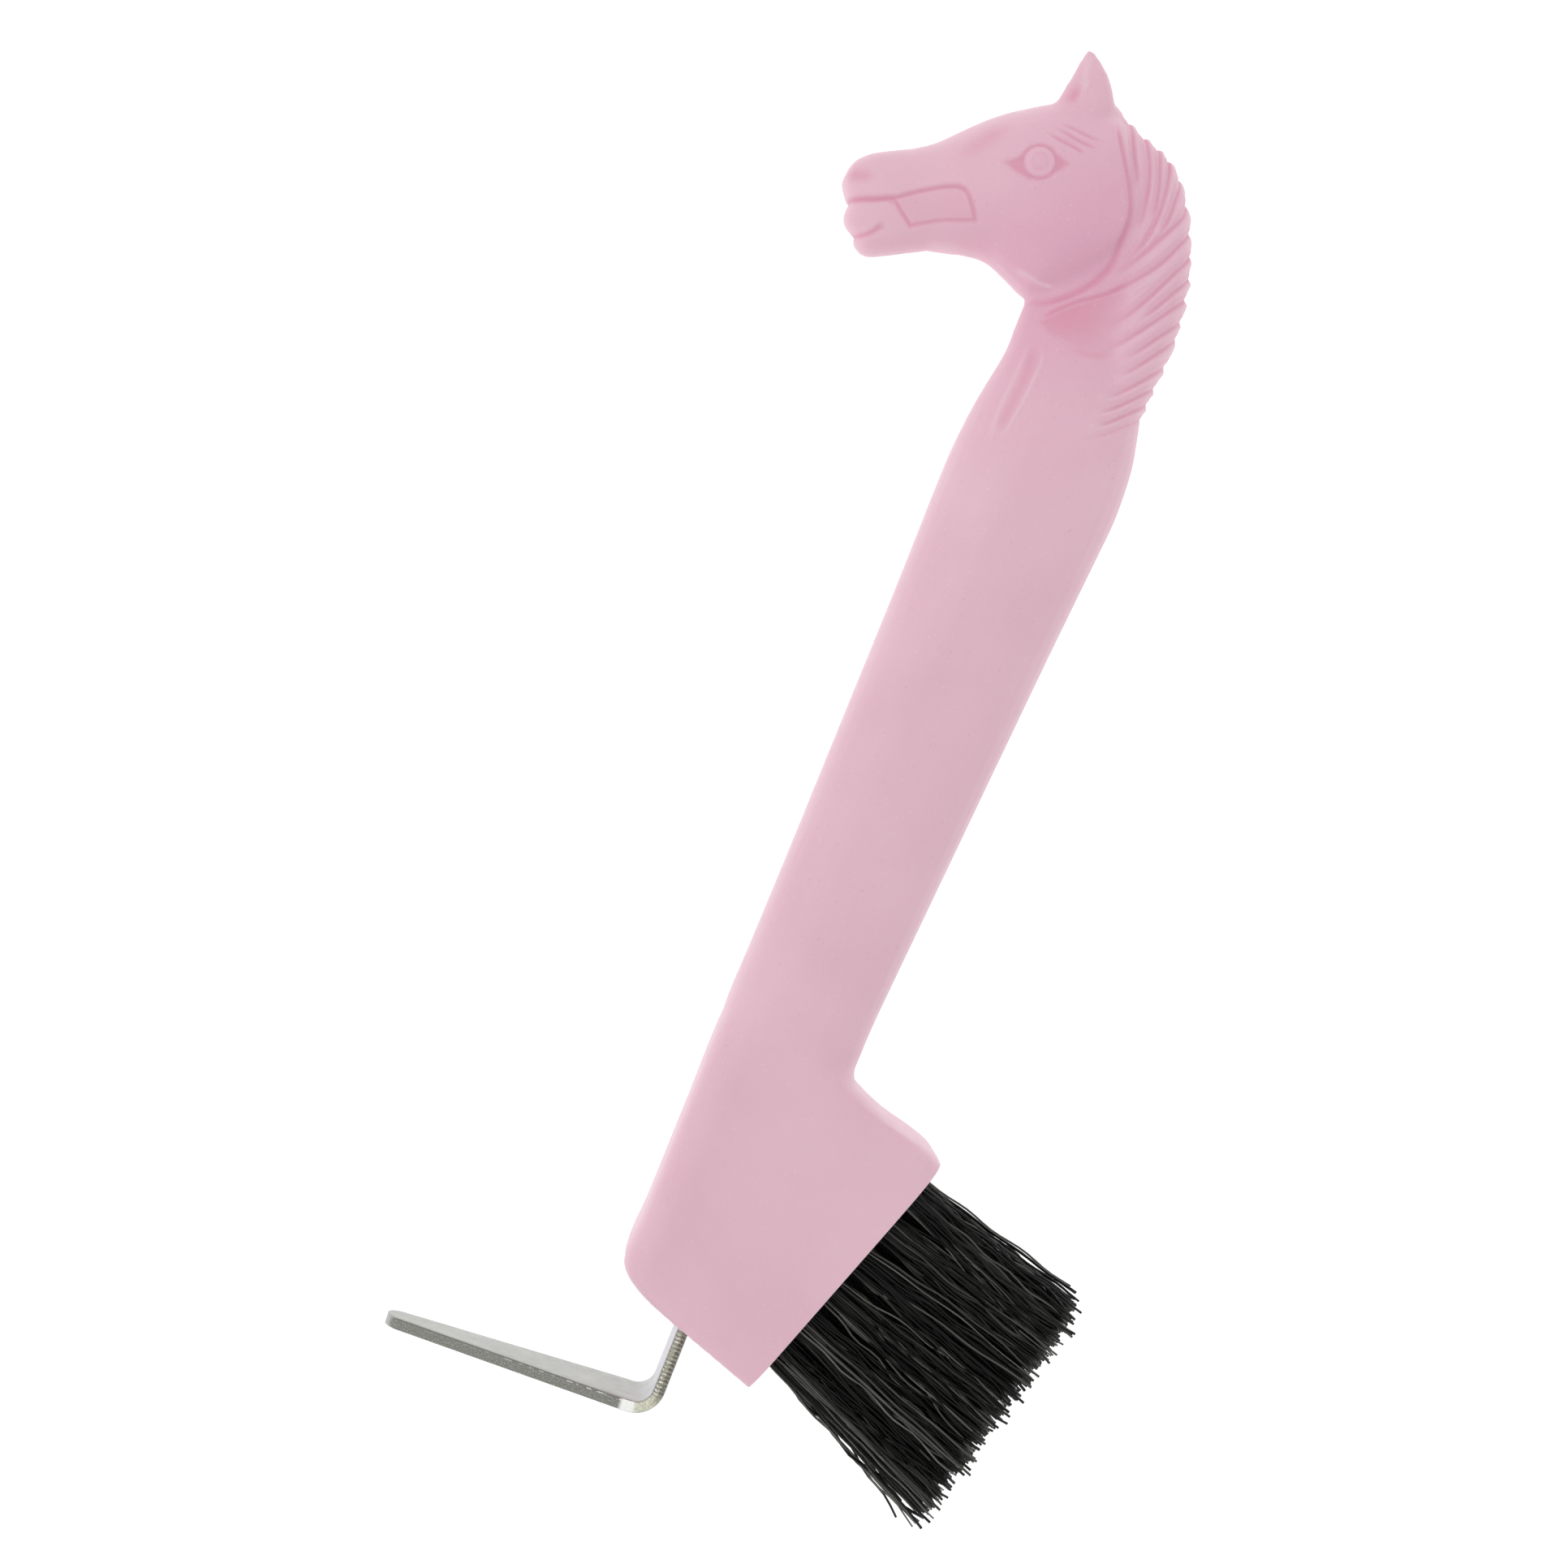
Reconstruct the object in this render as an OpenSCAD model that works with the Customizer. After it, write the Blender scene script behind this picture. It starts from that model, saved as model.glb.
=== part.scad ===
// Horse-head hoof pick with a staple-set brush.
// A moulded handle holds a bent steel pick and seventeen bristle tufts, each
// folded round a flat wire anchor. +Z runs up the grip to the horse's poll, +X is
// the brush side, -X the pick side, and the tool lies on its flat side at y = 0.

/* [Grip] */
// Width of the grip just above the brush head
grip_w_low = 23.8; // [20:0.2:26]
// Width of the grip at its swell, below the neck
grip_w_high = 29.4; // [26:0.2:32]
// Height of the swell above the origin
grip_top_z = 130; // [120:1:136]
// Thickness of the grip halfway up
grip_t = 20; // [17:0.5:21]

/* [Brush head] */
// Thickness of the brush head between its flat sides
head_t = 22; // [21:0.5:26]
// Lean of the brush face from the grip's axis, in degrees
face_lean = 17.3; // [15:0.1:19]
// Distance of the brush face from the grip's axis, at z = 0
face_x = 23.6; // [23:0.2:24.4]

/* [Brush] */
// Radius of a tuft hole
hole_r = 2.75; // [2.4:0.05:2.9]
// Depth of a tuft hole
hole_depth = 12; // [9:0.5:13]
// Distance between tufts along a row
tuft_pitch = 6.7; // [6.5:0.1:6.9]
// Distance between rows
row_pitch = 6.2; // [6:0.1:6.6]
// Length of bristle that stands out of the middle of the face
bristle_l = 34; // [20:1:40]
// Radius of a tuft at its trimmed end
tuft_end_r = 3.6; // [2.8:0.1:3.7]
// Lean of the whole brush down from square to the face, in degrees
brush_lean = 4; // [0:0.5:5]
// Lean of the end tufts from the middle ones, in degrees
tuft_fan = 4.4; // [3:0.2:6]
// Outward lean of the two outer rows, in degrees
row_fan = 2; // [0:0.5:4]

/* [Pick] */
// Thickness of the steel strip
steel_t = 2; // [1.6:0.1:2.6]
// Width of the strip at its stem
steel_w = 12; // [10:0.2:14]
// Width of the strip just behind its rounded tip
tip_w = 4.8; // [3:0.2:7]
// Length of the blade from the bend's centre to the tip
blade_l = 41.6; // [36:0.1:48]
// Droop of the blade below the square, in degrees
blade_droop = 5.5; // [0:0.5:10]
// Inside radius of the bend
bend_r = 3; // [1.5:0.1:4]
// Length of the tang inside the handle
tang_l = 40; // [30:1:45]

/* [Hidden] */
ROWS = ["left", "middle", "right"];
ROW_COUNT = [6, 5, 6];

pink = [0.86, 0.69, 0.75];
zinc = [0.66, 0.67, 0.65];
bristle_black = [0.07, 0.07, 0.07];

mid_y = -head_t / 2;
clear = 0.02;
around = 28;

// The pick's stem: where its bend starts, how far it leans, and its length up to
// the tang. The blade tapers from taper_x to its tip.
stem_x = 4;
bend_z = -29.8;
stem_lean = 2.5;
stem_l = 12;
taper_x = -1;
bend_steps = 12;

// Plugs of handle plastic through the tang: heights up the stem, and radius.
plug_z = [stem_l + 0.25 * tang_l, stem_l + 0.7 * tang_l];
plug_r = 2;

// Tuft anchors: a flat wire driven across each hole, near its bottom.
anchor_t = 0.35;
anchor_h = 1.8;
anchor_w = 2 * hole_r + 0.9;
anchor_depth = hole_depth - 2.4;
tuft_root_r = hole_r - 0.05;
face_centre_z = -0.2;
past_face = 8;

// ---------------------------------------------------------------- lofts

// Catmull-Rom point between p1 and p2, for points or whole rows of numbers.
function between(p0, p1, p2, p3, t) =
    0.5 * (2 * p1 + (p2 - p0) * t + (2 * p0 - 5 * p1 + 4 * p2 - p3) * t * t
        + (3 * p1 - p0 - 3 * p2 + p3) * t * t * t);

function smooth(rows, steps) = let (last = len(rows) - 1) [
    for (i = [0:last - 1]) for (k = [0:steps - 1])
        between(rows[max(i - 1, 0)], rows[i], rows[i + 1], rows[min(i + 2, last)], k / steps),
    rows[last]
];

function power(v, e) = sign(v) * pow(abs(v), 2 / e);

// A ring of n points: the closed section between two rail points, given as
// [x1, z1, x2, z2, half thickness, roundness]. A roundness of 2 is an ellipse and
// more is squarer. A swell above 0 pushes out the end at x2.
function ring(s, n, swell = 0) = [
    for (j = [0:n - 1])
        let (
            a = 360 * j / n,
            u = power(cos(a), s[5]),
            grow = 1 + swell * pow(max(cos(a), 0), 2)
        )
        [
            (s[0] + s[2]) / 2 + u * (s[2] - s[0]) / 2 * grow,
            s[4] * power(sin(a), s[5]),
            (s[1] + s[3]) / 2 + u * (s[3] - s[1]) / 2 * grow
        ]
];

// A closed skin over rings of n points.
module skin(rings, n) {
    last = (len(rings) - 1) * n;
    sides = [
        for (i = [0:n:last - n]) for (j = [0:n - 1])
            let (k = (j + 1) % n)
            each [[i + j, i + k, i + k + n], [i + j, i + k + n, i + j + n]]
    ];
    first = [for (j = [1:n - 2]) [0, j + 1, j]];
    final = [for (j = [1:n - 2]) [last, last + j, last + j + 1]];
    polyhedron([for (r = rings) each r], concat(sides, first, final), convexity = 6);
}

// ---------------------------------------------------------------- handle

// Sections of the neck, which fan round the throat from the poll to the shoulder.
neck = [
    [-18.6, 187.5, -13.1, 192, 2.4, 2],
    [-18, 186, -11.1, 191, 4, 2.1],
    [-16, 183, -5.4, 188.2, 5.4, 2.1],
    [-14, 179, -0.2, 184.8, 6.5, 2.1],
    [-12.5, 174, 4.4, 180.5, 7.3, 2.1],
    [-12, 169, 7.6, 174, 7.8, 2.1],
    [-12.5, 163, 10, 167, 8.2, 2.1],
    [-13.4, 157.5, 11.3, 160, 8.4, 2.1],
    [-13.3, 153, 11.5, 154, 8.6, 2.1],
    [-13.1, 148, 11.6, 148, 9, 2.1],
    [-13.7, 143, 12.8, 143, 9.6, 2.2]
];

// Sections of the grip, from the swell down to the brush head.
grip = [
    [-14.3, grip_top_z + 8, 14, grip_top_z + 8, grip_t / 2 + 0.1, 2.2],
    [-grip_w_high / 2, grip_top_z, grip_w_high / 2, grip_top_z, grip_t / 2 + 0.5, 2.3],
    [-grip_w_high / 2 + 0.2, grip_top_z - 8, 14.5, grip_top_z - 8, grip_t / 2 + 0.5, 2.35],
    [-13.8, 105, 13.9, 105, grip_t / 2 + 0.2, 2.4],
    [-13, 80, 13.2, 80, grip_t / 2, 2.5],
    [-12.3, 58, 12.6, 58, grip_t / 2, 2.6],
    [-grip_w_low / 2, 42, grip_w_low / 2 + 0.2, 40, grip_t / 2 + 0.1, 2.7]
];

// Sections of the brush head. Its far end is left long, for the brush face to cut.
half_t = head_t / 2;
block = [
    [-11.8, 35.5, 12.1, 33.3, half_t - 0.7, 3],
    [-11.7, 32.5, 12.3, 29.8, half_t - 0.4, 3.3],
    [-11.5, 30, 14.1, 27.9, half_t - 0.1, 3.8],
    [-11.5, 28, 20.5, 25.5, half_t + 0.2, 4.5],
    [-11.4, 25.5, 27.9, 23.9, half_t + 0.4, 5.5],
    [-11.3, 22.5, 30.8, 21.8, half_t + 0.5, 6],
    [-11, 16, 32, 15.4, half_t + 0.5, 6],
    [-10.6, 5, 30, 3, half_t + 0.5, 6],
    [-10.3, -4, 27, -7, half_t + 0.5, 6],
    [-10.4, -9.3, 24.8, -14, half_t + 0.5, 6],
    [-10, -12.6, 23.5, -19.6, half_t + 0.2, 5.5],
    [-8.5, -14.5, 22.8, -22.7, half_t - 0.5, 5],
    [-6.4, -15.8, 22.2, -24.3, half_t - 1.4, 4.5]
];

// Sections of the head, from the muzzle back to the round of the jowl.
head = [
    [-48.9, 162.1, -48.6, 165.2, 1.8, 2],
    [-48.1, 161, -48, 166.4, 4.1, 2.2],
    [-46, 158.6, -46.2, 168.3, 5.3, 2.3],
    [-43.2, 156, -43.2, 170.2, 5.9, 2.4],
    [-40.2, 155, -40, 172.1, 6.2, 2.4],
    [-36.2, 156, -37.1, 174.5, 6.3, 2.4],
    [-31.8, 157.9, -34, 178.1, 7, 2.3],
    [-27, 159.4, -30.4, 181.9, 8.2, 2.3],
    [-22, 160.2, -26, 185.4, 9.4, 2.3],
    [-17.5, 158.8, -20, 189, 10.2, 2.4],
    [-12.6, 157.4, -12, 189.9, 10.5, 2.5],
    [-7.6, 160.2, -7.7, 185.6, 10.4, 2.6],
    [-4.7, 164.8, -4.7, 180.4, 9.9, 2.6],
    [-3.4, 169.5, -3.4, 175.5, 9.2, 2.4]
];

// Sections of the mane, from the poll down to its tip on the shoulder.
mane = [
    [-15.2, 187, -12.9, 192, 3.4, 2.3],
    [-12.2, 183.5, -7.8, 189.2, 5.6, 2.5],
    [-8.6, 179, -1.1, 186.9, 7.2, 2.5],
    [-6.4, 173.5, 3.9, 182.1, 8, 2.5],
    [-4.6, 167.5, 8.2, 174.3, 8.6, 2.5],
    [-3.4, 161, 10.8, 166, 9, 2.5],
    [-1.4, 155, 11.8, 158.2, 9.2, 2.4],
    [1.4, 148.8, 11.7, 152, 8.8, 2.4],
    [4.4, 142.6, 11.8, 146.7, 7.2, 2.2]
];
mane_locks = 15;
lock_steps = 4;
lock_swell = 0.085;

// Rings of the mane, which swell out in one scallop for each lock.
function mane_rings(n) =
    let (rows = smooth(mane, lock_steps * mane_locks), count = mane_locks * lock_steps)
    [
        for (i = [0:count])
            ring(rows[i * (len(mane) - 1)], n, lock_swell * abs(sin(180 * i / lock_steps)))
    ];

// An ear: a pointed shell that leans out from the poll, on one side of the mid-plane.
ear_front = [-22.2, 187.6];
ear_back = [-12.9, 190.6];
ear_tip = [-20.7, 196.9];
ear_out = 3.9;
ear_half_t = 3.2;

function ear_row(t) = [
    ear_front[0] * (1 - t) + ear_tip[0] * t,
    ear_front[1] * (1 - t) + ear_tip[1] * t,
    ear_back[0] * (1 - t) + ear_tip[0] * t + 0.5 * sin(180 * t),
    ear_back[1] * (1 - t) + ear_tip[1] * t + 0.9 * sin(180 * t),
    ear_half_t * (1 - 0.9 * t),
    2
];

module ear(side) {
    n = 16;
    translate([0, side * ear_out, 0])
        skin(concat(
            [for (t = [0.995, 0.93, 0.75, 0.5, 0.25, 0]) ring(ear_row(t), n)],
            [ring([-22.4, 182, -12, 184, ear_half_t * 1.4, 2], n)]
        ), n);
}

// A lip or chin: a flattened bead that runs back into the jaw.
module bead(front, front_r, back, back_r, half_w) {
    scale([1, half_w / front_r, 1])
        hull() {
            translate([front[0], 0, front[1]]) sphere(front_r, $fn = 16);
            translate([back[0], 0, back[1]]) sphere(back_r, $fn = 16);
        }
}

// The eyeball, low and round in the side of the face.
module eye(side) {
    translate([-20.9, side * 8.9, 176.1]) scale([1, 0.55, 1]) sphere(2.5, $fn = 16);
}

// Everything beyond the brush face.
module beyond_face() {
    translate([face_x, 0, 0])
        rotate([0, face_lean, 0])
            translate([0, -head_t, -60])
                cube([60, 2 * head_t, 120]);
}

// Everything outside the brush head's flat sides.
module beside_head() {
    for (side = [-1, 1])
        translate([-30, side * head_t - head_t / 2, -40]) cube([80, head_t, 90]);
}

module handle_outside() {
    // A resize to nothing keeps every size and draws these blended skins as one mesh.
    resize([0, 0, 0])
        union() {
            skin([for (s = smooth(concat(neck, grip, block), 3)) ring(s, around)], around);
            skin([for (s = smooth(head, 3)) ring(s, around)], around);
            skin(mane_rings(20), 20);
            ear(1);
            ear(-1);
            eye(1);
            eye(-1);
            bead([-43.7, 158], 2.8, [-35, 160.5], 3.4, 4.7);
            bead([-40.9, 155.8], 3, [-34, 160], 3.2, 4.5);
        }
}

module handle() {
    color(pink)
        difference() {
            handle_outside();
            beyond_face();
            beside_head();
            for (r = [0:2]) for (k = [1:ROW_COUNT[r]]) at_tuft(r, k) {
                translate([0, 0, -hole_depth]) cylinder(hole_depth + past_face, r = hole_r, $fn = 48);
                anchor(clear);
            }
            difference() {
                strip_tang(clear);
                tang_plugs(0);
            }
        }
}

// ---------------------------------------------------------------- pick

// Places children on the stem: z runs up the stem from the bend's start.
module on_stem() {
    translate([stem_x, 0, bend_z]) rotate([0, -stem_lean, 0]) children();
}

module strip_tang(gap) {
    on_stem()
        translate([-steel_t / 2 - gap, -steel_w / 2 - gap, 0])
            cube([steel_t + 2 * gap, steel_w + 2 * gap, tang_l + stem_l + gap]);
}

// Two plugs of handle plastic that run through the tang and lock it in.
module tang_plugs(gap) {
    for (z = plug_z)
        on_stem() translate([0, 0, z]) rotate([0, 90, 0])
            cylinder(10 * steel_t, r = plug_r + gap, center = true, $fn = 40);
}

// A point of the bend, at a radius and at an angle from the stem, in the stem's frame.
function on_bend(r, a) = [-bend_r - steel_t / 2 + r * cos(a), -r * sin(a)];

// The whole strip seen from the side: tang and stem, bend, then blade.
module strip_side() {
    turn = 90 - blade_droop + stem_lean;
    blade = (blade_l + tip_w) * [-sin(turn), -cos(turn)];
    outer = [for (i = [0:bend_steps]) on_bend(bend_r + steel_t, turn * i / bend_steps)];
    inner = [for (i = [bend_steps:-1:0]) on_bend(bend_r, turn * i / bend_steps)];
    polygon(concat(
        [[steel_t / 2, tang_l + stem_l]],
        outer,
        [outer[bend_steps] + blade, inner[0] + blade],
        inner,
        [[-steel_t / 2, tang_l + stem_l]]
    ));
}

// What the strip's plan leaves out on both sides of the blade: a taper to a round tip.
module outside_plan() {
    tip_x = stem_x - bend_r - steel_t / 2 - blade_l * cos(blade_droop) + tip_w / 2;
    slope = (steel_w - tip_w) / 2 / (taper_x - tip_x);
    past = 4 * steel_w;
    past_w = steel_w / 2 + past * slope;
    difference() {
        translate([tip_x - past / 2, -past / 2]) square([past + taper_x - tip_x, past]);
        translate([tip_x, 0]) circle(tip_w / 2, $fn = 48);
        polygon([
            [tip_x, -tip_w / 2],
            [taper_x + past, -past_w],
            [taper_x + past, past_w],
            [tip_x, tip_w / 2]
        ]);
    }
}

module pick() {
    color(zinc)
        difference() {
            on_stem() rotate([90, 0, 0])
                linear_extrude(steel_w, center = true) strip_side();
            linear_extrude(2 * (tang_l + stem_l - bend_z), center = true) outside_plan();
            tang_plugs(clear);
        }
}

// ---------------------------------------------------------------- brush

// Distance of a tuft from the middle of its row.
function along(row, k) = (k - (ROW_COUNT[row] + 1) / 2) * tuft_pitch;

// Places children at a tuft's hole: z points out of the brush face.
module at_tuft(row, k) {
    translate([face_x + face_centre_z * tan(face_lean), (row - 1) * row_pitch, face_centre_z])
        rotate([0, face_lean, 0])
            translate([0, 0, along(row, k)])
                rotate([0, 90, 0])
                    children();
}

module anchor(gap) {
    translate([-anchor_t / 2 - gap, -anchor_w / 2 - gap, -anchor_depth - anchor_h / 2 - gap])
        cube([anchor_t + 2 * gap, anchor_w + 2 * gap, anchor_h + 2 * gap]);
}

// A bundle of bristles, folded round its anchor: a root in the hole and a flaring
// brush, cut off square to the lean of the whole brush.
module tuft(row, k) {
    out = bristle_l - along(row, k) * tan(brush_lean);
    fan = brush_lean - along(row, k) / (2.5 * tuft_pitch) * tuft_fan;
    color(bristle_black)
        at_tuft(row, k)
            difference() {
                union() {
                    translate([0, 0, -hole_depth + 0.3])
                        cylinder(hole_depth - 0.3, r = tuft_root_r, $fn = 40);
                    rotate([(1 - row) * row_fan, fan, 0])
                        translate([0, 0, -1])
                            cylinder(out + 1, r1 = tuft_root_r - 0.15, r2 = tuft_end_r, $fn = 40);
                }
                anchor(clear);
            }
}

module tuft_anchors(row) {
    color(zinc)
        for (k = [1:ROW_COUNT[row]])
            at_tuft(row, k) anchor(0);
}

// ---------------------------------------------------------------- assembly

// Sets the mid-plane so that the flat side lies on y = 0.
module placed() {
    translate([0, mid_y, 0]) children();
}

placed() handle();
placed() pick();
for (r = [0:2]) {
    for (k = [1:ROW_COUNT[r]])
        placed() tuft(r, k);
    placed() tuft_anchors(r);
}
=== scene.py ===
# Hoof pick with a horse's head and an anchor-set brush, as it looks when new.
# Metres, in the CAD frame: +Z runs up the grip, +X is the brush side, and the tool
# lies on its flat side at y = 0. Outlines on the head are in millimetres, as [x, z].
import math

import bmesh
import bpy
import numpy as np
from mathutils import Matrix, Vector, noise


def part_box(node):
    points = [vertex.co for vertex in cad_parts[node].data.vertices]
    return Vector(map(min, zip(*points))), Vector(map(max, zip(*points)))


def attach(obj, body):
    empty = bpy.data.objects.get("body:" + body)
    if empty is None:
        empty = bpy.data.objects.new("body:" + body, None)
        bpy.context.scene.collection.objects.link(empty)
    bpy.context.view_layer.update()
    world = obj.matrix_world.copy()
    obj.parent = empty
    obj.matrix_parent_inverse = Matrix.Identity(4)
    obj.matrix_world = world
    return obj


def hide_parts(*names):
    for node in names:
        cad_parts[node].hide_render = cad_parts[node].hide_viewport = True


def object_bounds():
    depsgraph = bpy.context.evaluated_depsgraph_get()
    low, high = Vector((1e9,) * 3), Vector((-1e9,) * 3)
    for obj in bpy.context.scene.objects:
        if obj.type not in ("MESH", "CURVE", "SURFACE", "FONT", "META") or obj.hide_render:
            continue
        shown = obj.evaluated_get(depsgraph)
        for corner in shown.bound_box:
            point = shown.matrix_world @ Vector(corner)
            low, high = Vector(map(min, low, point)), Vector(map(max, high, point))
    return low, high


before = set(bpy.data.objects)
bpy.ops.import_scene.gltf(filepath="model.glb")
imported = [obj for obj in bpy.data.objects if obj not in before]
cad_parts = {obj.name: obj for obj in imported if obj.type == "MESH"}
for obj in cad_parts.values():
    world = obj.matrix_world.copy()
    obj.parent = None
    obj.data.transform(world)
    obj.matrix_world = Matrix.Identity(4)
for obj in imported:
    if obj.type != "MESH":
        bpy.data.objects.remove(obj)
cad_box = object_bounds()

MM = 0.001
SEED = 7

# Points this near a flat face or end count as on it
ON_FACE = 0.02 * MM
# More than any distance on the head, in millimetres
FAR = 1e3
# The steps from each point of a curve to the next
CURVE_STEPS = 6

# Handle mesh: smoothed all over, then more on the mane and in the soft spots. Each pass
# shrinks and swells the skin, and bumps sink more where it swells less.
VOXEL = 0.6 * MM
WELD = 0.002 * MM
SHRINK = 0.5
BODY_SWELL = -0.52
BODY_SMOOTHING = 12
MANE_SMOOTHING = 14
MANE_SWELL = -0.1
SPOT_SMOOTHING = 30
SPOT_SWELL = -0.25
# The share of a soft spot's radius over which it fades
SPOT_FADE = 0.7
# Soft spots under the chin and behind the jaw: x, z and radius, in millimetres
SOFT_SPOTS = ((-32.5, 156.5, 5), (-8.5, 161.0, 6), (-5.5, 166.5, 5))
# Rounds of splitting faces: how near the narrow grooves, in millimetres, and whether
# the mane's faces are split too
SPLIT_ROUNDS = ((1.5, True), (0.7, False))
SPLIT_SMOOTHING = 2
MANE_MARGIN = 1
# The share of faces kept where the skin is plain, and how far from the carving, in
# millimetres, that starts
PLAIN_KEEP = 0.3
PLAIN_MARGIN = 2
SHARP_ANGLE = math.radians(55)

# Handle: the brush face is built proud by the spare, then cut flat by a block
FACE_SPARE = 1 * MM
BLOCK_LENGTH = 60 * MM
BLOCK_WIDTH = 80 * MM
BLOCK_THICKNESS = 120 * MM
BORE_R = 2.75 * MM
BORE_DEPTH = 12 * MM
BORE_SIDES = 40
FILL_SIDES = 24
FILL_WIDER = 0.2 * MM
FILL_DEEPER = 0.4 * MM
FILL_SHORT = 1 * MM
CUT_BEYOND = 5 * MM
SLOT_GAP = 0.02 * MM
PICK_GAP = 0.06 * MM
COLLAR_GAP = 0.24 * MM
EAR_HEIGHT = 9 * MM
EAR_RISE = 0.45 * MM
EAR_PULL = 0.3 * MM

# Pick strip: the tang and stem, then the bend, then the blade
STEM_LENGTH = 52 * MM
COLLAR_UP = 12.4 * MM
BEND_R = 3 * MM
BLADE_DROOP = math.radians(5.5)
TIP_W = 4.8 * MM
TIP_LEAST = 0.12 * MM
TAPER_AFTER = 1.2 * MM
EDGE_ROUND = 0.32 * MM
TIP_ROUND = 0.2 * MM
# The most that a corner's radius takes of half the width
CORNER_MOST = 0.9
CORNER_STEPS = 5
FACE_PARTS = 8
EDGE_PARTS = 4
STEM_STEPS = 90
BEND_STEPS = 20
BLADE_STEPS = 70
TIP_STEPS = 14
PLUG_R = 2.02 * MM
PLUG_SIDES = 32
PLUGS_UP_STEM = (22 * MM, 40 * MM)
STEM_ROUGH = 0.06 * MM
BLADE_ROUGH = 0.03 * MM
ROUGH_PITCH = 1.1 * MM
SEED_STEP = 7.3

# Bristles in each tuft
BRISTLE_R = 0.22 * MM
BRISTLES = 84
BRISTLE_SIDES = 6
BRISTLE_STEPS = 18
ROOT_DEPTH = 8.4 * MM
ROOT_SPREAD = 2.4 * MM
TIP_SPREAD = 3.8 * MM

# The shares of a tuft's opening that are gradual and even, how fast a bristle's crimp
# and straying grow along it, and how much the spots and the spread differ
OPEN_GRADUAL = 0.45
OPEN_EVEN = 0.55
CRIMP_GROWTH = 4
STRAY_POWER = 1.4
SPOT_SHUFFLE = 0.1
SPREAD_CHANGE = 0.06
# Most bristles are dark; a few have a painted highlight in their colour, and a highlit one is
# thinner
PAINTED_HIGHLIGHT_POWER = 4
BRIGHT_THINNER = 0.4
THICKNESS = (0.9, 1.15)
# How bristles differ, in millimetres: a typical difference, or the least and the most
LENGTH_SPREAD = 0.45
SHORTER = (1, 6)
LONGER = (0.5, 1.6)
LEAN = 0.75
CRIMP = (0.15, 0.5)
WAVE = (9, 15)
BOW = 0.5
STRAY = (0.8, 2.4)
# The shares of bristles that are short, long, lean far, or stray from the tuft's outside
SHORT_SHARE = 0.07
LONG_SHARE = 0.05
FAR_LEAN_SHARE = 0.12
STRAY_SHARE = 0.1
# How many times as much the far ones lean, and the share of the radius that is inside
FAR_LEAN = 3.2
OUTSIDE = 0.8


# ------------------------ small tools


def smoothstep(x, low, high):
    t = np.clip((x - low) / (high - low), 0, 1)
    return t * t * (3 - 2 * t)


def curve(points):
    """A smooth curve through the points, as an array."""
    p = np.array(points, float)
    p = np.vstack([2 * p[0] - p[1], p, 2 * p[-1] - p[-2]])
    t = np.linspace(0, 1, CURVE_STEPS, endpoint=False)[:, None]
    spans = []
    for i in range(1, len(p) - 2):
        a, b, c, d = p[i - 1 : i + 3]
        span = 2 * b + (c - a) * t
        span += (2 * a - 5 * b + 4 * c - d) * t**2
        span += (3 * b - a - 3 * c + d) * t**3
        spans.append(0.5 * span)
    return np.vstack(spans + [p[-2:-1]])


def from_curve(places, line):
    """How far each place is from the line, how far along the line it is, from 0 to 1, and
    whether it is on the line's left, going along it."""
    nearest = np.full(len(places), FAR)
    along = np.zeros(len(places))
    on_left = np.zeros(len(places), bool)
    lengths = np.linalg.norm(np.diff(line, axis=0), axis=1)
    starts = np.concatenate([[0], np.cumsum(lengths)])
    for a, b, start, length in zip(line[:-1], line[1:], starts, lengths):
        t = np.clip(((places - a) @ (b - a)) / length**2, 0, 1)
        d = np.linalg.norm(places - a - t[:, None] * (b - a), axis=1)
        closer = d < nearest
        nearest[closer] = d[closer]
        along[closer] = (start + t * length)[closer] / starts[-1]
        turned = (b - a)[0] * (places - a)[:, 1] - (b - a)[1] * (places - a)[:, 0]
        on_left[closer] = turned[closer] > 0
    return nearest, along, on_left


def inside(places, outline):
    """How far inside a closed outline each place is, and how far outside as a negative number."""
    x, z = places[:, 0], places[:, 1]
    within = np.zeros(len(places), bool)
    ends = np.roll(outline, -1, axis=0)
    for (ax, az), (bx, bz) in zip(outline, ends):
        if az != bz:
            crossing = ax + (z - az) / (bz - az) * (bx - ax)
            within ^= ((az > z) != (bz > z)) & (x < crossing)
    edge = from_curve(places, np.vstack([outline, outline[:1]]))[0]
    return np.where(within, edge, -edge)


def evaluated(obj):
    """The object's mesh with its modifiers applied, in place of the one it had."""
    depsgraph = bpy.context.evaluated_depsgraph_get()
    mesh = bpy.data.meshes.new_from_object(obj.evaluated_get(depsgraph))
    obj.modifiers.clear()
    old = obj.data
    obj.data = mesh
    bpy.data.meshes.remove(old)
    return obj


def new_object(name, data):
    """An object in the scene with the given mesh, light or camera."""
    obj = bpy.data.objects.new(name, data)
    bpy.context.scene.collection.objects.link(obj)
    return obj


def object_from(bm, name):
    """An object in the scene with the shape built in bm."""
    mesh = bpy.data.meshes.new(name)
    bm.to_mesh(mesh)
    bm.free()
    return new_object(name, mesh)


def skin(bm, rings):
    """Faces from each ring of points to the next, and one over each end."""
    for low, high in zip(rings[:-1], rings[1:]):
        for j in range(len(low)):
            k = (j + 1) % len(low)
            bm.faces.new((low[j], low[k], high[k], high[j]))
    bm.faces.new(rings[0][::-1])
    bm.faces.new(rings[-1])


def points_of(mesh):
    co = np.zeros(len(mesh.vertices) * 3)
    mesh.vertices.foreach_get("co", co)
    return co.reshape(-1, 3)


def normals_of(mesh):
    no = np.zeros(len(mesh.vertices) * 3)
    mesh.vertex_normals.foreach_get("vector", no)
    return no.reshape(-1, 3)


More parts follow.
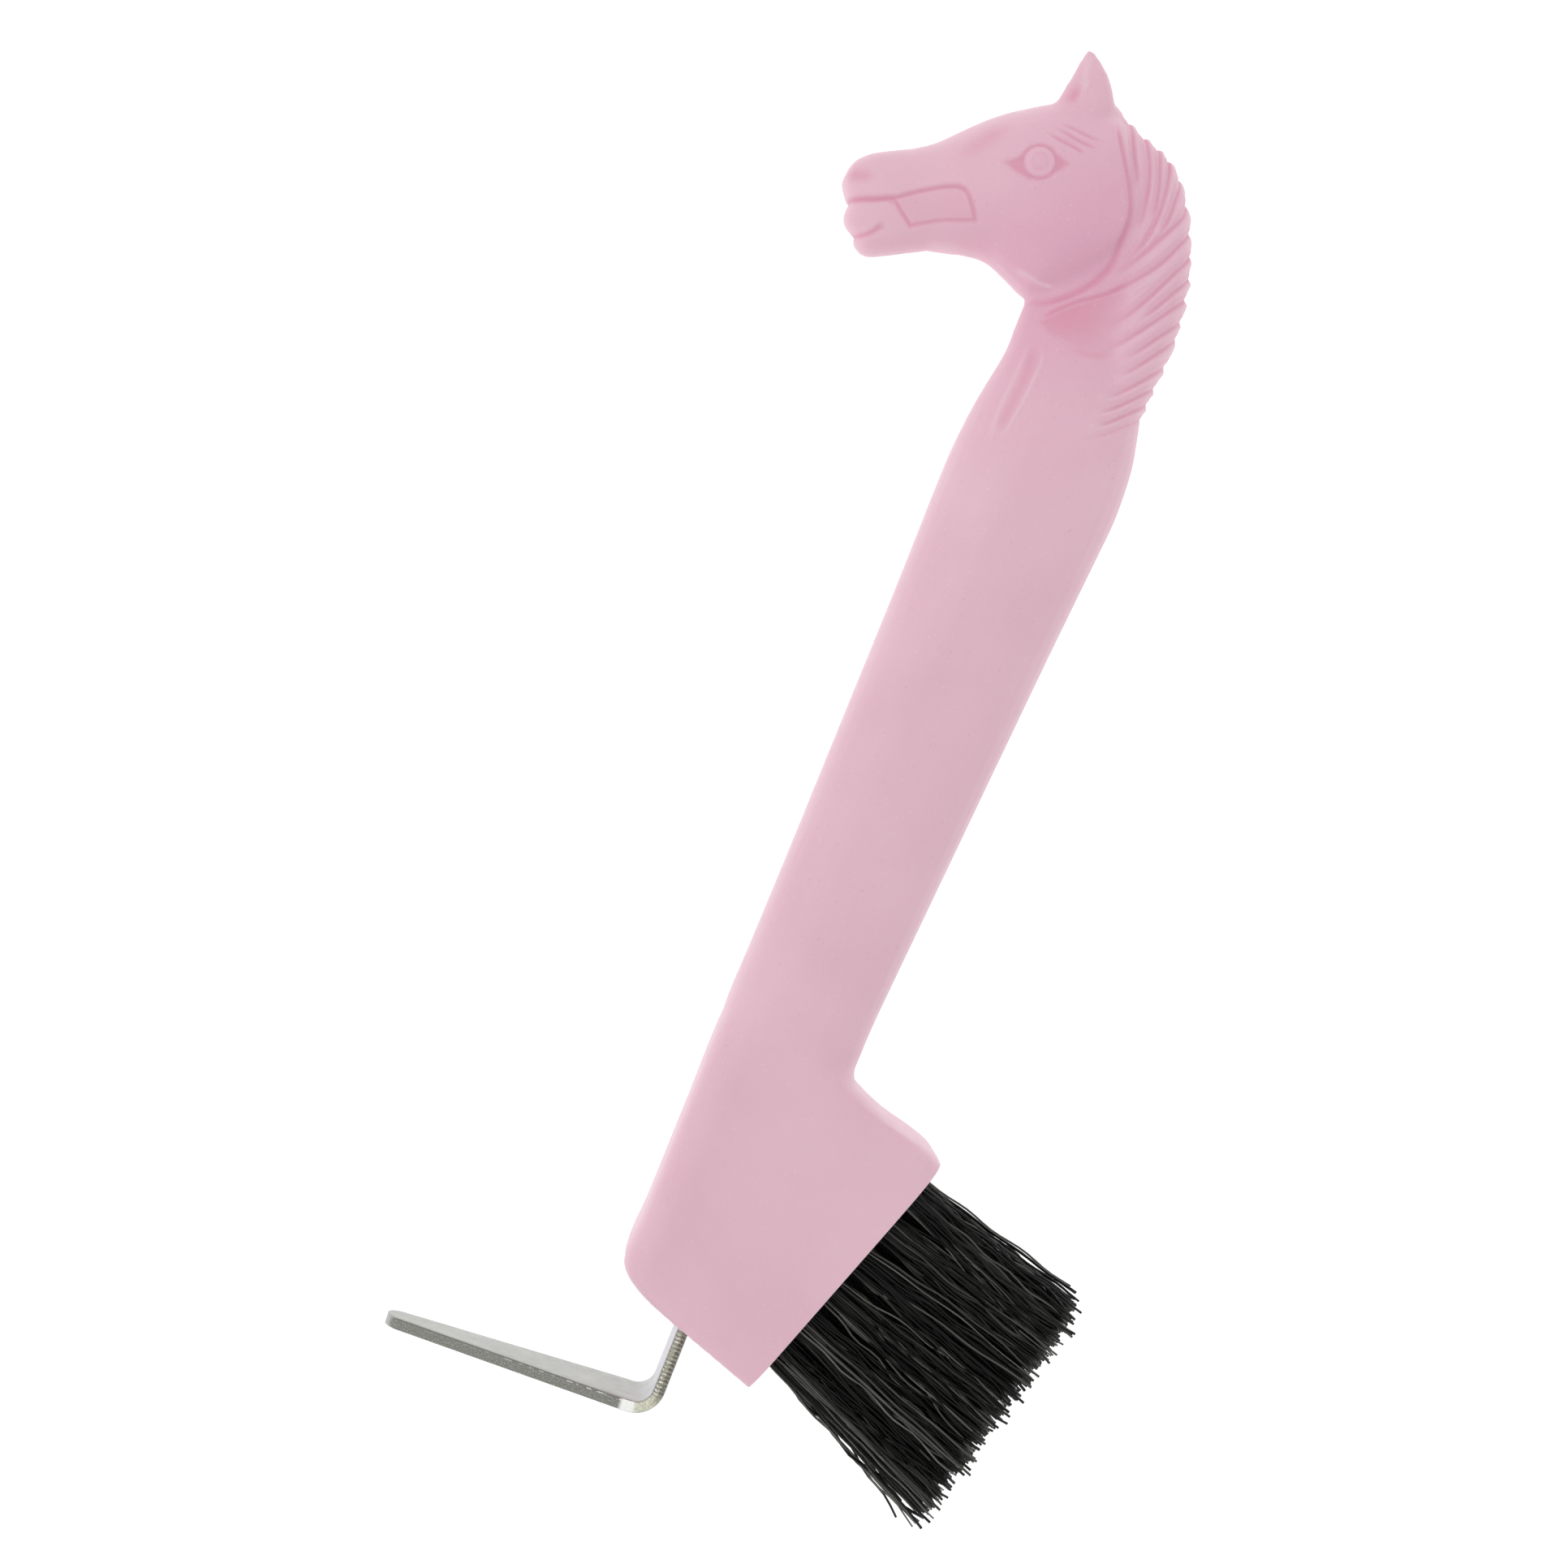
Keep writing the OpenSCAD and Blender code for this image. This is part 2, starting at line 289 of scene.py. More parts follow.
def set_points(mesh, points):
    mesh.vertices.foreach_set("co", points.ravel())
    mesh.update()


def corners(node):
    """The different corner points of a CAD node."""
    return np.unique(np.round(points_of(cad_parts[node].data), 7), axis=0)


def smoothed(mesh, passes, weight=None, swell=BODY_SWELL):
    """Rubs out small bumps. A weight of 0 keeps a point still."""
    points = points_of(mesh)
    edges = np.zeros(len(mesh.edges) * 2, int)
    mesh.edges.foreach_get("vertices", edges)
    a, b = edges.reshape(-1, 2).T
    count = np.bincount(np.concatenate([a, b]), minlength=len(points))[:, None]
    weight = np.ones(len(points)) if weight is None else weight
    for step in range(passes * 2):
        total = np.zeros_like(points)
        for axis in range(3):
            total[:, axis] = np.bincount(a, points[b, axis], len(points))
            total[:, axis] += np.bincount(b, points[a, axis], len(points))
        amount = SHRINK if step % 2 == 0 else swell
        points += amount * weight[:, None] * (total / count - points)
    set_points(mesh, points)


def finished(obj, material, node):
    """Sets a piece's finish and smooth shading, hides the CAD node it stands for, and puts it on
    the body it rides on.
    """
    for polygon in obj.data.polygons:
        polygon.use_smooth = True
    obj.data.materials.clear()
    obj.data.materials.append(material)
    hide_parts(node)
    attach(obj, "root")


# ------------------------ brush frame
# Every bore's axis runs through the middle of its anchor, square to the brush face.

ROWS = {"left": 6, "middle": 5, "right": 6}


def anchor_boxes(row):
    """The corner points of each anchor of a row, from the lowest anchor up."""
    found = corners("tuft_anchors_" + row)
    found = found[np.argsort(found[:, 2])]
    return np.array_split(found, ROWS[row])


anchors = {row: anchor_boxes(row) for row in ROWS}
row_way = anchors["middle"][-1].mean(0) - anchors["middle"][0].mean(0)
row_way = row_way / np.linalg.norm(row_way)
face_way = np.array([row_way[2], 0, -row_way[0]])
face_place = (corners("handle") @ face_way).max()


def mouth(row, k):
    """The middle of a bore's mouth."""
    centre = anchors[row][k - 1].mean(0)
    return centre + face_way * (face_place - centre @ face_way)


# ------------------------ relief of the head
# Outlines are the same on both sides of the head.

# The grooves between the mane's locks, each from the crest down to its end on the neck.
MANE_GROOVES = [
    [(-11.5, 192.0), (-10.4, 189.4), (-9.7, 187.2)],
    [(-9.9, 190.2), (-7.0, 183.8), (-3.7, 178.2)],
    [(-7.0, 189.2), (-3.7, 182.3), (-2.3, 177.1), (-1.4, 171.4)],
    [(-4.2, 188.4), (-1.5, 181.1), (-0.2, 175.2), (-0.3, 171.8)],
    [(-1.5, 187.1), (0.1, 179.5), (0.1, 172.3), (-2.3, 164.7)],
    [(1.5, 184.9), (2.1, 177.7), (1.8, 174.5), (1.1, 171.1)],
    [(4.3, 182.3), (4.0, 177.6), (1.4, 171.4), (-1.2, 166.3), (-1.8, 163.7)],
    [(6.9, 177.9), (4.1, 170.0), (1.2, 165.5), (-2.2, 161.3)],
    [(8.5, 174.2), (5.3, 165.9), (2.6, 160.2), (-0.5, 156.0)],
    [(9.8, 170.9), (6.6, 163.8), (3.7, 158.3)],
    [(10.8, 167.7), (6.9, 160.8), (3.6, 155.8), (0.6, 152.0)],
    [(11.6, 164.2), (7.8, 157.6), (4.2, 151.9)],
    [(11.9, 161.1), (8.2, 154.4), (4.5, 149.2)],
    [(12.1, 156.2), (7.9, 149.8), (3.8, 145.2)],
    [(12.1, 152.4), (7.8, 146.7), (3.4, 142.4)],
    [(12.1, 149.5), (7.9, 144.2), (3.8, 139.9)],
    [(11.8, 146.2), (6.6, 140.4), (2.4, 137.0)],
]
MANE_OUTLINE = [
    (-14.6, 193.0), (-10.6, 186.2), (-6.7, 179.8), (-4.3, 175.0), (-3.6, 168.5),
    (-4.6, 162.6), (-2.0, 156.0), (-0.4, 151.0), (2.4, 147.2), (2.6, 142.6),
    (1.8, 137.0), (6.6, 140.4), (9.4, 143.4), (11.8, 146.2), (16.0, 150.0), (16.0, 170.0),
    (6.0, 190.0), (-10.0, 196.0),
]
# How far inside an outline its carving starts and where it is full, in millimetres
MANE_EDGE = (-0.5, 0.6)
LID_EDGE = (-0.3, 0.65)
PANEL_EDGE = (-0.2, 0.3)
HOLLOW_EDGE = (-0.25, 0.9)
# The locks overlap downwards: a groove's upper side slopes gently, its lower side steeply.
LOCK_HEIGHT = 0.32
GROOVE_DEPTH = 0.5
CREST_DEPTH = 0.85
# The shares of a groove's length that are deeper at the crest and that fade at its end
CREST_SHARE = 0.3
END_SHARE = 0.35
UPPER_SLOPE = 1.15
LOWER_SLOPE = 0.62
SLOPE_POWER = 1.5
LOCK_REACH = 4.0
STRAND_PITCH = 0.95
STRAND_HEIGHT = 0.05

# Strokes of the carving: points, depth (ridges below 0) and width, and the shares of
# the stroke's length over which it fades in and out.
STROKES = {
    "jowl": ([(-12.2, 188.4), (-9.9, 184.3), (-6.5, 179.3), (-4.2, 175.1), (-3.5, 170.5),
              (-3.6, 165.4), (-6.1, 160.6), (-10.3, 157.0), (-14.2, 155.9)], 0.3, 0.55, 0.1, 0.15),
    "neck_fold": ([(0.8, 165.2), (-1.5, 162.2), (-3.7, 160.2), (-6.1, 158.4), (-8.6, 156.0),
                   (-10.7, 153.9)], 0.3, 0.45, 0.2, 0.15),
    "low_fold": ([(-5.8, 151.8), (-3.2, 151.2), (-0.6, 151.3), (1.6, 152.4), (3.6, 154.6)],
                 0.15, 0.7, 0.4, 0.4),
    "mouth": ([(-49.4, 158.7), (-46.4, 159.3), (-43.0, 160.4), (-41.3, 161.2), (-39.8, 161.9)],
              0.36, 0.5, 0, 0),
    "mouth_branch": ([(-40.8, 161.3), (-39.8, 161.2), (-39.0, 160.9)], 0.2, 0.35, 0.2, 0.3),
    "lip_crease": ([(-39.3, 158.3), (-40.1, 157.1), (-40.9, 155.9), (-42.2, 154.9),
                    (-44.6, 154.4)], 0.28, 0.5, 0.3, 0),
    "panel_top": ([(-39.8, 161.9), (-36.7, 164.4), (-33.5, 166.5), (-31.2, 167.5), (-30.0, 167.5)],
                  0.3, 0.42, 0, 0),
    "panel_back": ([(-30.0, 167.5), (-29.0, 166.9), (-27.7, 165.5), (-26.4, 163.9)],
                   0.26, 0.42, 0, 0),
    "panel_low": ([(-26.4, 163.9), (-28.3, 163.1), (-30.6, 162.2), (-32.5, 161.2), (-35.6, 159.2)],
                  0.24, 0.38, 0, 0),
    "panel_front": ([(-35.6, 159.2), (-37.1, 160.1), (-38.7, 161.1), (-39.8, 161.9)],
                    0.27, 0.42, 0, 0),
    "brow_a": ([(-22.2, 180.9), (-19.0, 180.5), (-16.7, 180.3), (-14.4, 180.0)],
               0.22, 0.32, 0.4, 0.2),
    "brow_b": ([(-21.6, 182.3), (-18.8, 182.0), (-16.1, 181.6), (-12.5, 181.6)],
               0.22, 0.32, 0.4, 0.3),
    "brow_c": ([(-20.4, 183.2), (-18.0, 183.2), (-14.4, 183.0), (-12.2, 183.4)],
               0.19, 0.32, 0.3, 0.4),
    "brow_d": ([(-20.0, 181.3), (-17.6, 180.9), (-15.6, 180.9)], 0.08, 0.3, 0.4, 0.4),
    "ear_hollow": ([(-20.0, 191.6), (-19.9, 189.4), (-20.2, 188.0), (-20.8, 187.0)],
                   0.26, 0.95, 0.5, 0.4),
    "ear_ridge": ([(-20.3, 196.4), (-19.6, 193.0), (-18.9, 190.6), (-18.6, 187.2)],
                  -0.32, 0.42, 0.1, 0.4),
    "nostril": ([(-47.1, 163.0), (-45.5, 163.5)], 0.22, 1.0, 0, 0),
    "face_crest": ([(-34.0, 170.4), (-31.6, 173.9), (-29.4, 177.2), (-26.0, 180.6)],
                   0.15, 1.3, 0.5, 0.4),
    "jaw_ridge": ([(-32.4, 158.3), (-30.4, 158.9), (-28.5, 159.5), (-26.3, 160.2)],
                  -0.2, 0.32, 0.3, 0.3),
    "cheek_ridge": ([(-17.6, 160.1), (-14.8, 159.4), (-12.5, 159.1), (-10.1, 159.3)],
                    -0.24, 0.34, 0.3, 0.15),
    "throat_valley": ([(-9.6, 150.4), (-8.8, 145.4), (-8.9, 141.3), (-9.1, 137.2), (-9.2, 134.0)],
                      0.15, 0.85, 0.2, 0.15),
    "throat_ridge": ([(-9.3, 150.6), (-7.5, 148.0), (-7.4, 143.6), (-7.6, 139.0), (-8.1, 134.8),
                      (-9.2, 133.2)], -0.2, 0.32, 0.3, 0.15),
    "throat_front": ([(-10.2, 150.3), (-10.2, 144.0), (-10.4, 138.0), (-10.1, 133.4),
                      (-9.9, 131.4)], -0.16, 0.34, 0.2, 0.2),
}
# The strokes with narrow edges, which need the smallest faces
SHARP = ("mouth", "panel_top", "panel_back", "panel_low", "panel_front", "jowl", "neck_fold",
         "lip_crease", "brow_a", "brow_b", "brow_c", "jaw_ridge", "cheek_ridge", "throat_ridge",
         "throat_front")

# The sunk floor of the cheek panel
PANEL = [
    (-39.4, 161.9), (-33.5, 166.2), (-30.4, 167.2), (-26.9, 164.0), (-32.5, 161.5), (-35.6, 159.6),
]
PANEL_DEPTH = 0.08

# The hollow under the neck fold, deepest along the fold. It fades downwards, and back
# into the mane.
FOLD_HOLLOW = [
    (-10.7, 153.6), (-8.6, 155.8), (-6.1, 158.2), (-3.7, 160.0), (-1.5, 162.0), (0.6, 163.4),
    (3.4, 160.0), (3.0, 153.8), (0.8, 151.3), (-1.8, 150.9), (-5.0, 151.3), (-8.3, 151.8),
]
HOLLOW_DEPTH = 0.3
HOLLOW_FADE_DOWN = (147.5, 156.5)
HOLLOW_FADE_BACK = (-7.0, 5.0)

# The eye: a round eyeball between two lids that meet in a point at each side.
EYE = (-20.8, 175.9)
EYE_R = 2.72
LIDS = [
    (-26.4, 173.8), (-23.7, 172.9), (-21.1, 172.5), (-19.2, 173.4), (-17.8, 174.9), (-15.9, 177.6),
    (-18.4, 178.2), (-19.8, 179.0), (-21.7, 178.9), (-23.3, 177.3), (-24.4, 175.3),
]
LID_DEPTH = 0.3
LID_FADE = 0.5
# The depth and width of the grooves round the eyeball and the iris
EYE_GROOVE = (0.24, 0.36)
IRIS_R = 1.25
IRIS_GROOVE = (0.08, 0.24)

# The depth of a groove and the height of a ridge, in millimetres, that have their full painted
# shade and full painted highlight
GROOVE_SHADE_FULL = 0.4
RIDGE_HIGHLIGHT_FULL = 0.25


def share_inside(places, outline, edge):
    """1 well inside a closed outline and 0 outside it."""
    return smoothstep(inside(places, np.array(outline)), *edge)


def mane_share(places):
    """1 on the mane and 0 off it."""
    return share_inside(places, MANE_OUTLINE, MANE_EDGE)


def stroke_depth(places, points, depth, width, fade_in, fade_out):
    """The depth of a stroke, with a round bottom and faded ends."""
    d, along, _ = from_curve(places, curve(points))
    fade = np.ones(len(places))
    if fade_in:
        fade *= smoothstep(along, 0, fade_in)
    if fade_out:
        fade *= smoothstep(1 - along, 0, fade_out)
    return abs(depth) * fade * np.exp(-((d / width) ** 2))


def mane_relief(places):
    """Round locks between grooves, fullest at the crest, with fine strands along each lock."""
    deepest, lock = np.zeros(len(places)), np.zeros(len(places))
    nearest = np.full(len(places), FAR)
    for points in MANE_GROOVES:
        line = curve(points)
        outward = line[0] + 2 * (line[0] - line[1]) / np.linalg.norm(line[0] - line[1])
        d, along, below = from_curve(places, np.vstack([outward, line]))
        at_crest = smoothstep(CREST_SHARE - along, 0, CREST_SHARE)
        depth = GROOVE_DEPTH + (CREST_DEPTH - GROOVE_DEPTH) * at_crest
        fade = smoothstep(1 - along, 0, END_SHARE)
        slope = np.where(below, LOWER_SLOPE, UPPER_SLOPE)
        deepest = np.maximum(deepest, depth * fade * np.exp(-((d / slope) ** SLOPE_POWER)))
        nearest = np.minimum(nearest, d)
        lock = np.maximum(lock, fade * smoothstep(LOCK_REACH - d, 0, LOCK_REACH))
    height = LOCK_HEIGHT - STRAND_HEIGHT * np.cos(2 * np.pi * nearest / STRAND_PITCH)
    return (height * lock - deepest) * mane_share(places)


def eye_depth(places):
    """The depth between the lids and the eyeball, and of the rings round it and the iris."""
    d = np.linalg.norm(places - np.array(EYE), axis=1)
    lids = share_inside(places, LIDS, LID_EDGE)
    deep = LID_DEPTH * lids * smoothstep(d, EYE_R - LID_FADE, EYE_R)
    for radius, (depth, width) in ((EYE_R, EYE_GROOVE), (IRIS_R, IRIS_GROOVE)):
        deep = np.maximum(deep, depth * np.exp(-(((d - radius) / width) ** 2)))
    return deep


def relief(places):
    """The height of the head's carving at each [x, z], in millimetres.

    Where grooves or hollows meet, the deepest one counts."""
    cut_in, raised = eye_depth(places), np.zeros(len(places))
    for points, depth, *shape in STROKES.values():
        amount = stroke_depth(places, points, depth, *shape)
        if depth > 0:
            cut_in = np.maximum(cut_in, amount)
        else:
            raised = np.maximum(raised, amount)
    panel = PANEL_DEPTH * share_inside(places, PANEL, PANEL_EDGE)
    hollow = HOLLOW_DEPTH * share_inside(places, FOLD_HOLLOW, HOLLOW_EDGE)
    hollow *= smoothstep(places[:, 1], *HOLLOW_FADE_DOWN)
    hollow *= 1 - smoothstep(places[:, 0], *HOLLOW_FADE_BACK)
    return raised - np.maximum.reduce([cut_in, panel, hollow]) + mane_relief(places)


def from_fine_detail(places):
    """How far each place is from the narrowest grooves."""
    nearest = np.abs(np.linalg.norm(places - np.array(EYE), axis=1) - EYE_R)
    for name in SHARP:
        nearest = np.minimum(nearest, from_curve(places, curve(STROKES[name][0]))[0])
    return nearest


# ------------------------ handle

HEAD_LENGTH = 72 * MM
frame_top = cad_box[1].z


def cylinder_between(bm, start, end, radius, sides):
    start, end = Vector(start), Vector(end)
    turn = (end - start).to_track_quat("Z", "Y").to_matrix().to_4x4()
    place = Matrix.Translation((start + end) / 2) @ turn
    bmesh.ops.create_cone(
        bm, cap_ends=True, segments=sides, radius1=radius, radius2=radius,
        depth=(end - start).length, matrix=place,
    )


def box_along(bm, start, end, width, thickness):
    """A box from start to end, with its width along Y."""
    start, end, across = Vector(start), Vector(end), Vector((0, 1, 0))
    way = (end - start).normalized()
    through = way.cross(across)
    turn = Matrix((across, through, way)).transposed().to_4x4()
    size = Matrix.Diagonal((width, thickness, (end - start).length, 1))
    bmesh.ops.create_cube(bm, size=1, matrix=Matrix.Translation((start + end) / 2) @ turn @ size)


def stem_line():
    """The middle of the tang's top, the way down the stem, and the strip's thickness and width."""
    points = corners("pick")
    top = points[np.argsort(points[:, 2])[-4:]]
    sides = np.unique(np.round(top[:, [0, 2]], 6), axis=0)
    through = sides[-1] - sides[0]
    thickness = np.linalg.norm(through)
    down = np.array([through[1], 0, -through[0]]) / thickness
    width = top[:, 1].max() - top[:, 1].min()
    return top.mean(0), down, thickness, width


def every_tuft():
    """Each tuft's row and its place in the row."""
    for row, count in ROWS.items():
        for k in range(1, count + 1):
            yield row, k


def plugs(bm):
    """Solid plugs that fill every bore and the tang's cavity while the skin is remade."""
    for row, k in every_tuft():
        at = mouth(row, k)
        deep = at - face_way * (BORE_DEPTH + FILL_DEEPER)
        out = at + face_way * FACE_SPARE * 0.9
        cylinder_between(bm, deep, out, BORE_R + FILL_WIDER, FILL_SIDES)
    top, down, thickness, width = stem_line()
    low = top + down * (STEM_LENGTH - COLLAR_UP - FILL_SHORT)
    box_along(bm, top - down * FILL_DEEPER, low, width + 3 * FILL_WIDER, thickness + 3 * FILL_WIDER)


def beyond_face(bm):
    """A block over all that stands proud of the brush face."""
    middle = mouth("middle", 3)
    box_along(bm, middle, middle + face_way * BLOCK_LENGTH, BLOCK_WIDTH, BLOCK_THICKNESS)


def bores_and_cavity(bm):
    for row, k in every_tuft():
        at = mouth(row, k)
        deep, out = at - face_way * BORE_DEPTH, at + face_way * CUT_BEYOND
        cylinder_between(bm, deep, out, BORE_R, BORE_SIDES)
    top, down, thickness, width = stem_line()
    box_along(bm, top - down * PICK_GAP, top + down * STEM_LENGTH,
              width + 2 * PICK_GAP, thickness + 2 * PICK_GAP)


def collar(bm):
    """The cavity's mouth, a little wider than the strip."""
    top, down, thickness, width = stem_line()
    bend = top + down * STEM_LENGTH
    box_along(bm, bend - down * COLLAR_UP, bend, width + 2 * COLLAR_GAP, thickness + 2 * COLLAR_GAP)


def anchor_slots(bm):
    """A slot across each bore, for the wire that holds its tuft."""
    for row in ROWS:
        for points in anchors[row]:
            middle = points.mean(0)
            out = (points - middle) @ face_way
            along = (points - middle) @ row_way
            reach = face_way * (np.ptp(out) / 2 + SLOT_GAP)
            width = np.ptp(points[:, 1]) + 2 * SLOT_GAP
            box_along(bm, middle - reach, middle + reach, width, np.ptp(along) + 2 * SLOT_GAP)


def cut(obj, build):
    """Takes the solids that build makes away from the object."""
    bm = bmesh.new()
    build(bm)
    tool = object_from(bm, "cutters")
    modifier = obj.modifiers.new("cut", "BOOLEAN")
    modifier.operation = "DIFFERENCE"
    modifier.solver = "MANIFOLD"
    modifier.object = tool
    evaluated(obj)
    bpy.data.objects.remove(tool)


def refine(mesh, wanted):
    """Splits every edge that has both ends in the wanted places."""
    bm = bmesh.new()
    bm.from_mesh(mesh)
    chosen = [e for e in bm.edges if wanted[e.verts[0].index] and wanted[e.verts[1].index]]
    bmesh.ops.subdivide_edges(bm, edges=chosen, cuts=1, use_grid_fill=True)
    bm.to_mesh(mesh)
    bm.free()


def thinned(obj, plain):
    """The object with only a share of its faces kept in its plain places."""
    group = obj.vertex_groups.new(name="plain")
    group.add(np.flatnonzero(plain).tolist(), 1, "REPLACE")
    modifier = obj.modifiers.new("fewer_faces", "DECIMATE")
    modifier.vertex_group = group.name
    modifier.ratio = 1 - (1 - PLAIN_KEEP) * plain.mean()
    evaluated(obj)
    obj.vertex_groups.clear()
    return obj


def side_places(points):
    """The [x, z] of each point, in millimetres."""
    return points[:, [0, 2]] / MM


def head_zone(points):
    """True on the head and neck, where the carving is."""
    return points[:, 2] > frame_top - HEAD_LENGTH


def carving(mesh):
    """The height of the carving at each point of a mesh, in millimetres."""
    points = points_of(mesh)
    carved = head_zone(points)
    height = np.zeros(len(points))
    height[carved] = relief(side_places(points[carved]))
    return height


def remade_skin():
    """The CAD handle with its bores filled, as one smooth skin of even, small faces."""
    bm = bmesh.new()
    bm.from_mesh(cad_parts["handle"].data)
    bmesh.ops.remove_doubles(bm, verts=bm.verts, dist=WELD)
    way = Vector(face_way)
    for vert in bm.verts:
        if vert.co.dot(way) > face_place - ON_FACE:
            vert.co += way * FACE_SPARE
    plugs(bm)
    handle = object_from(bm, "handle_moulding")
    modifier = handle.modifiers.new("voxels", "REMESH")
    modifier.mode = "VOXEL"
    modifier.voxel_size = VOXEL
    return evaluated(handle)


def soften(mesh):
    """Rubs the skin smooth, most of all on the mane and in the soft spots."""
    smoothed(mesh, BODY_SMOOTHING)
    places = side_places(points_of(mesh))
    smoothed(mesh, MANE_SMOOTHING, mane_share(places), swell=MANE_SWELL)
    for x, z, r in SOFT_SPOTS:
        away = np.linalg.norm(places - np.array((x, z)), axis=1)
        smoothed(mesh, SPOT_SMOOTHING, smoothstep(r - away, 0, SPOT_FADE * r), swell=SPOT_SWELL)


def split_for_carving(mesh):
    """Makes the faces small where the carving is fine."""
    for reach, on_mane in SPLIT_ROUNDS:
        points = points_of(mesh)
        places = side_places(points)
        near = from_fine_detail(places) < reach
        if on_mane:
            near |= inside(places, np.array(MANE_OUTLINE)) > -MANE_MARGIN
        refine(mesh, near & head_zone(points))
        smoothed(mesh, SPLIT_SMOOTHING)


def with_tall_ears(points):
    """The points with the ears stretched up to their full height and a little forward."""
    ears = np.clip(points[:, 2] - (frame_top - EAR_HEIGHT), 0, None) ** 2
    ears /= ears.max()
    points[:, 2] += ears * (frame_top + EAR_RISE - points[:, 2].max())
    points[:, 0] -= ears * EAR_PULL
    return points


def mark_carving(mesh):
    """Marks the grooves and ridges, for the painted shade in the grooves and the painted highlight
    on the ridges.
    """
    height = carving(mesh)
    for name, share in (("groove", -height / GROOVE_SHADE_FULL), ("ridge", height / RIDGE_HIGHLIGHT_FULL)):
        layer = mesh.attributes.new(name, "FLOAT", "POINT")
        layer.data.foreach_set("value", np.clip(share, 0, 1).astype(np.float32))


def make_handle():
    """The handle: a smooth skin, carved, then cut by the face, the bores and the cavity."""
    handle = remade_skin()
    mesh = handle.data
    soften(mesh)
    split_for_carving(mesh)
    points = with_tall_ears(points_of(mesh))
    set_points(mesh, points)
    set_points(mesh, points + normals_of(mesh) * (carving(mesh) * MM)[:, None])

    places = side_places(points)
    detailed = from_fine_detail(places) < PLAIN_MARGIN
    detailed |= inside(places, np.array(MANE_OUTLINE)) > -PLAIN_MARGIN
    handle = thinned(handle, ~(detailed & head_zone(points)))
    for build in (beyond_face, bores_and_cavity, collar, anchor_slots):
        cut(handle, build)
    mark_carving(handle.data)
    finished(handle, pink_plastic(), "handle")
    handle.data.set_sharp_from_angle(angle=SHARP_ANGLE)


# ------------------------ pick


def wander(place, seed, pitch):
    """A smooth random number from -1 to 1 that changes over about one pitch, in metres."""
    return noise.noise(Vector((place / pitch, seed * SEED_STEP, SEED)))


def strip_stations(top, down, out, turn, bend_r, blade_length):
    """Places down the strip: middle, way through the strip, distance from the tang's top,
    and distance down the blade."""
    for s in np.linspace(0, STEM_LENGTH, STEM_STEPS):
        yield top + down * s, -out, s, 0
    start = top + down * STEM_LENGTH
    centre = start + out * bend_r
    for a in np.linspace(0, turn, BEND_STEPS)[1:]:
        spot = centre - out * bend_r * math.cos(a) + down * bend_r * math.sin(a)
        normal = -out * math.cos(a) + down * math.sin(a)
        yield spot, normal, STEM_LENGTH + bend_r * a, 0
    blade_way = out * math.sin(turn) + down * math.cos(turn)
    straight = blade_length - TIP_W / 2
    down_blade = np.linspace(0, straight, BLADE_STEPS)[1:]
    round_tip = straight + TIP_W / 2 * np.sin(np.linspace(0, math.pi / 2, TIP_STEPS)[1:])
    for b in np.concatenate([down_blade, round_tip]):
        yield spot + blade_way * b, normal, STEM_LENGTH + bend_r * turn + b, b


def strip_section(half, half_t, round_r):
    """Points round the strip's section, with rounded corners: across, and through the strip."""
    for corner_y, corner_n, first in ((1, 1, 0), (-1, 1, 1), (-1, -1, 2), (1, -1, 3)):
        for step in range(CORNER_STEPS + 1):
            a = math.pi / 2 * (first + step / CORNER_STEPS)
            yield (corner_y * (half - round_r) + round_r * math.cos(a),
                   corner_n * (half_t - round_r) + round_r * math.sin(a))
        if corner_n * corner_y > 0:
            for step in range(1, FACE_PARTS):
                yield corner_y * (half - round_r) * (1 - 2 * step / FACE_PARTS), corner_n * half_t
        else:
            for step in range(1, EDGE_PARTS):
                yield corner_y * half, corner_n * (half_t - round_r) * (1 - 2 * step / EDGE_PARTS)


def strip_width(b, blade_length, width):
    """Half the strip's width and the radius of its corners, b down the blade."""
    straight = blade_length - TIP_W / 2
    taper = np.clip((b - TAPER_AFTER) / (straight - TAPER_AFTER), 0, 1)
    half = (width + (TIP_W - width) * taper) / 2
    past = max(b - straight, 0)
    if past:
        half = math.sqrt(max((TIP_W / 2) ** 2 - past**2, TIP_LEAST**2))
    return half, min(EDGE_ROUND + TIP_ROUND * past / (TIP_W / 2), half * CORNER_MOST)


def plug_holes(bm):
    """The tang's two holes, which the handle's plastic fills."""
    top, down, _, _ = stem_line()
    through = np.array([down[2], 0, -down[0]]) * CUT_BEYOND
    for up in PLUGS_UP_STEM:
        at = top + down * (STEM_LENGTH - up)
        cylinder_between(bm, at - through, at + through, PLUG_R, PLUG_SIDES)


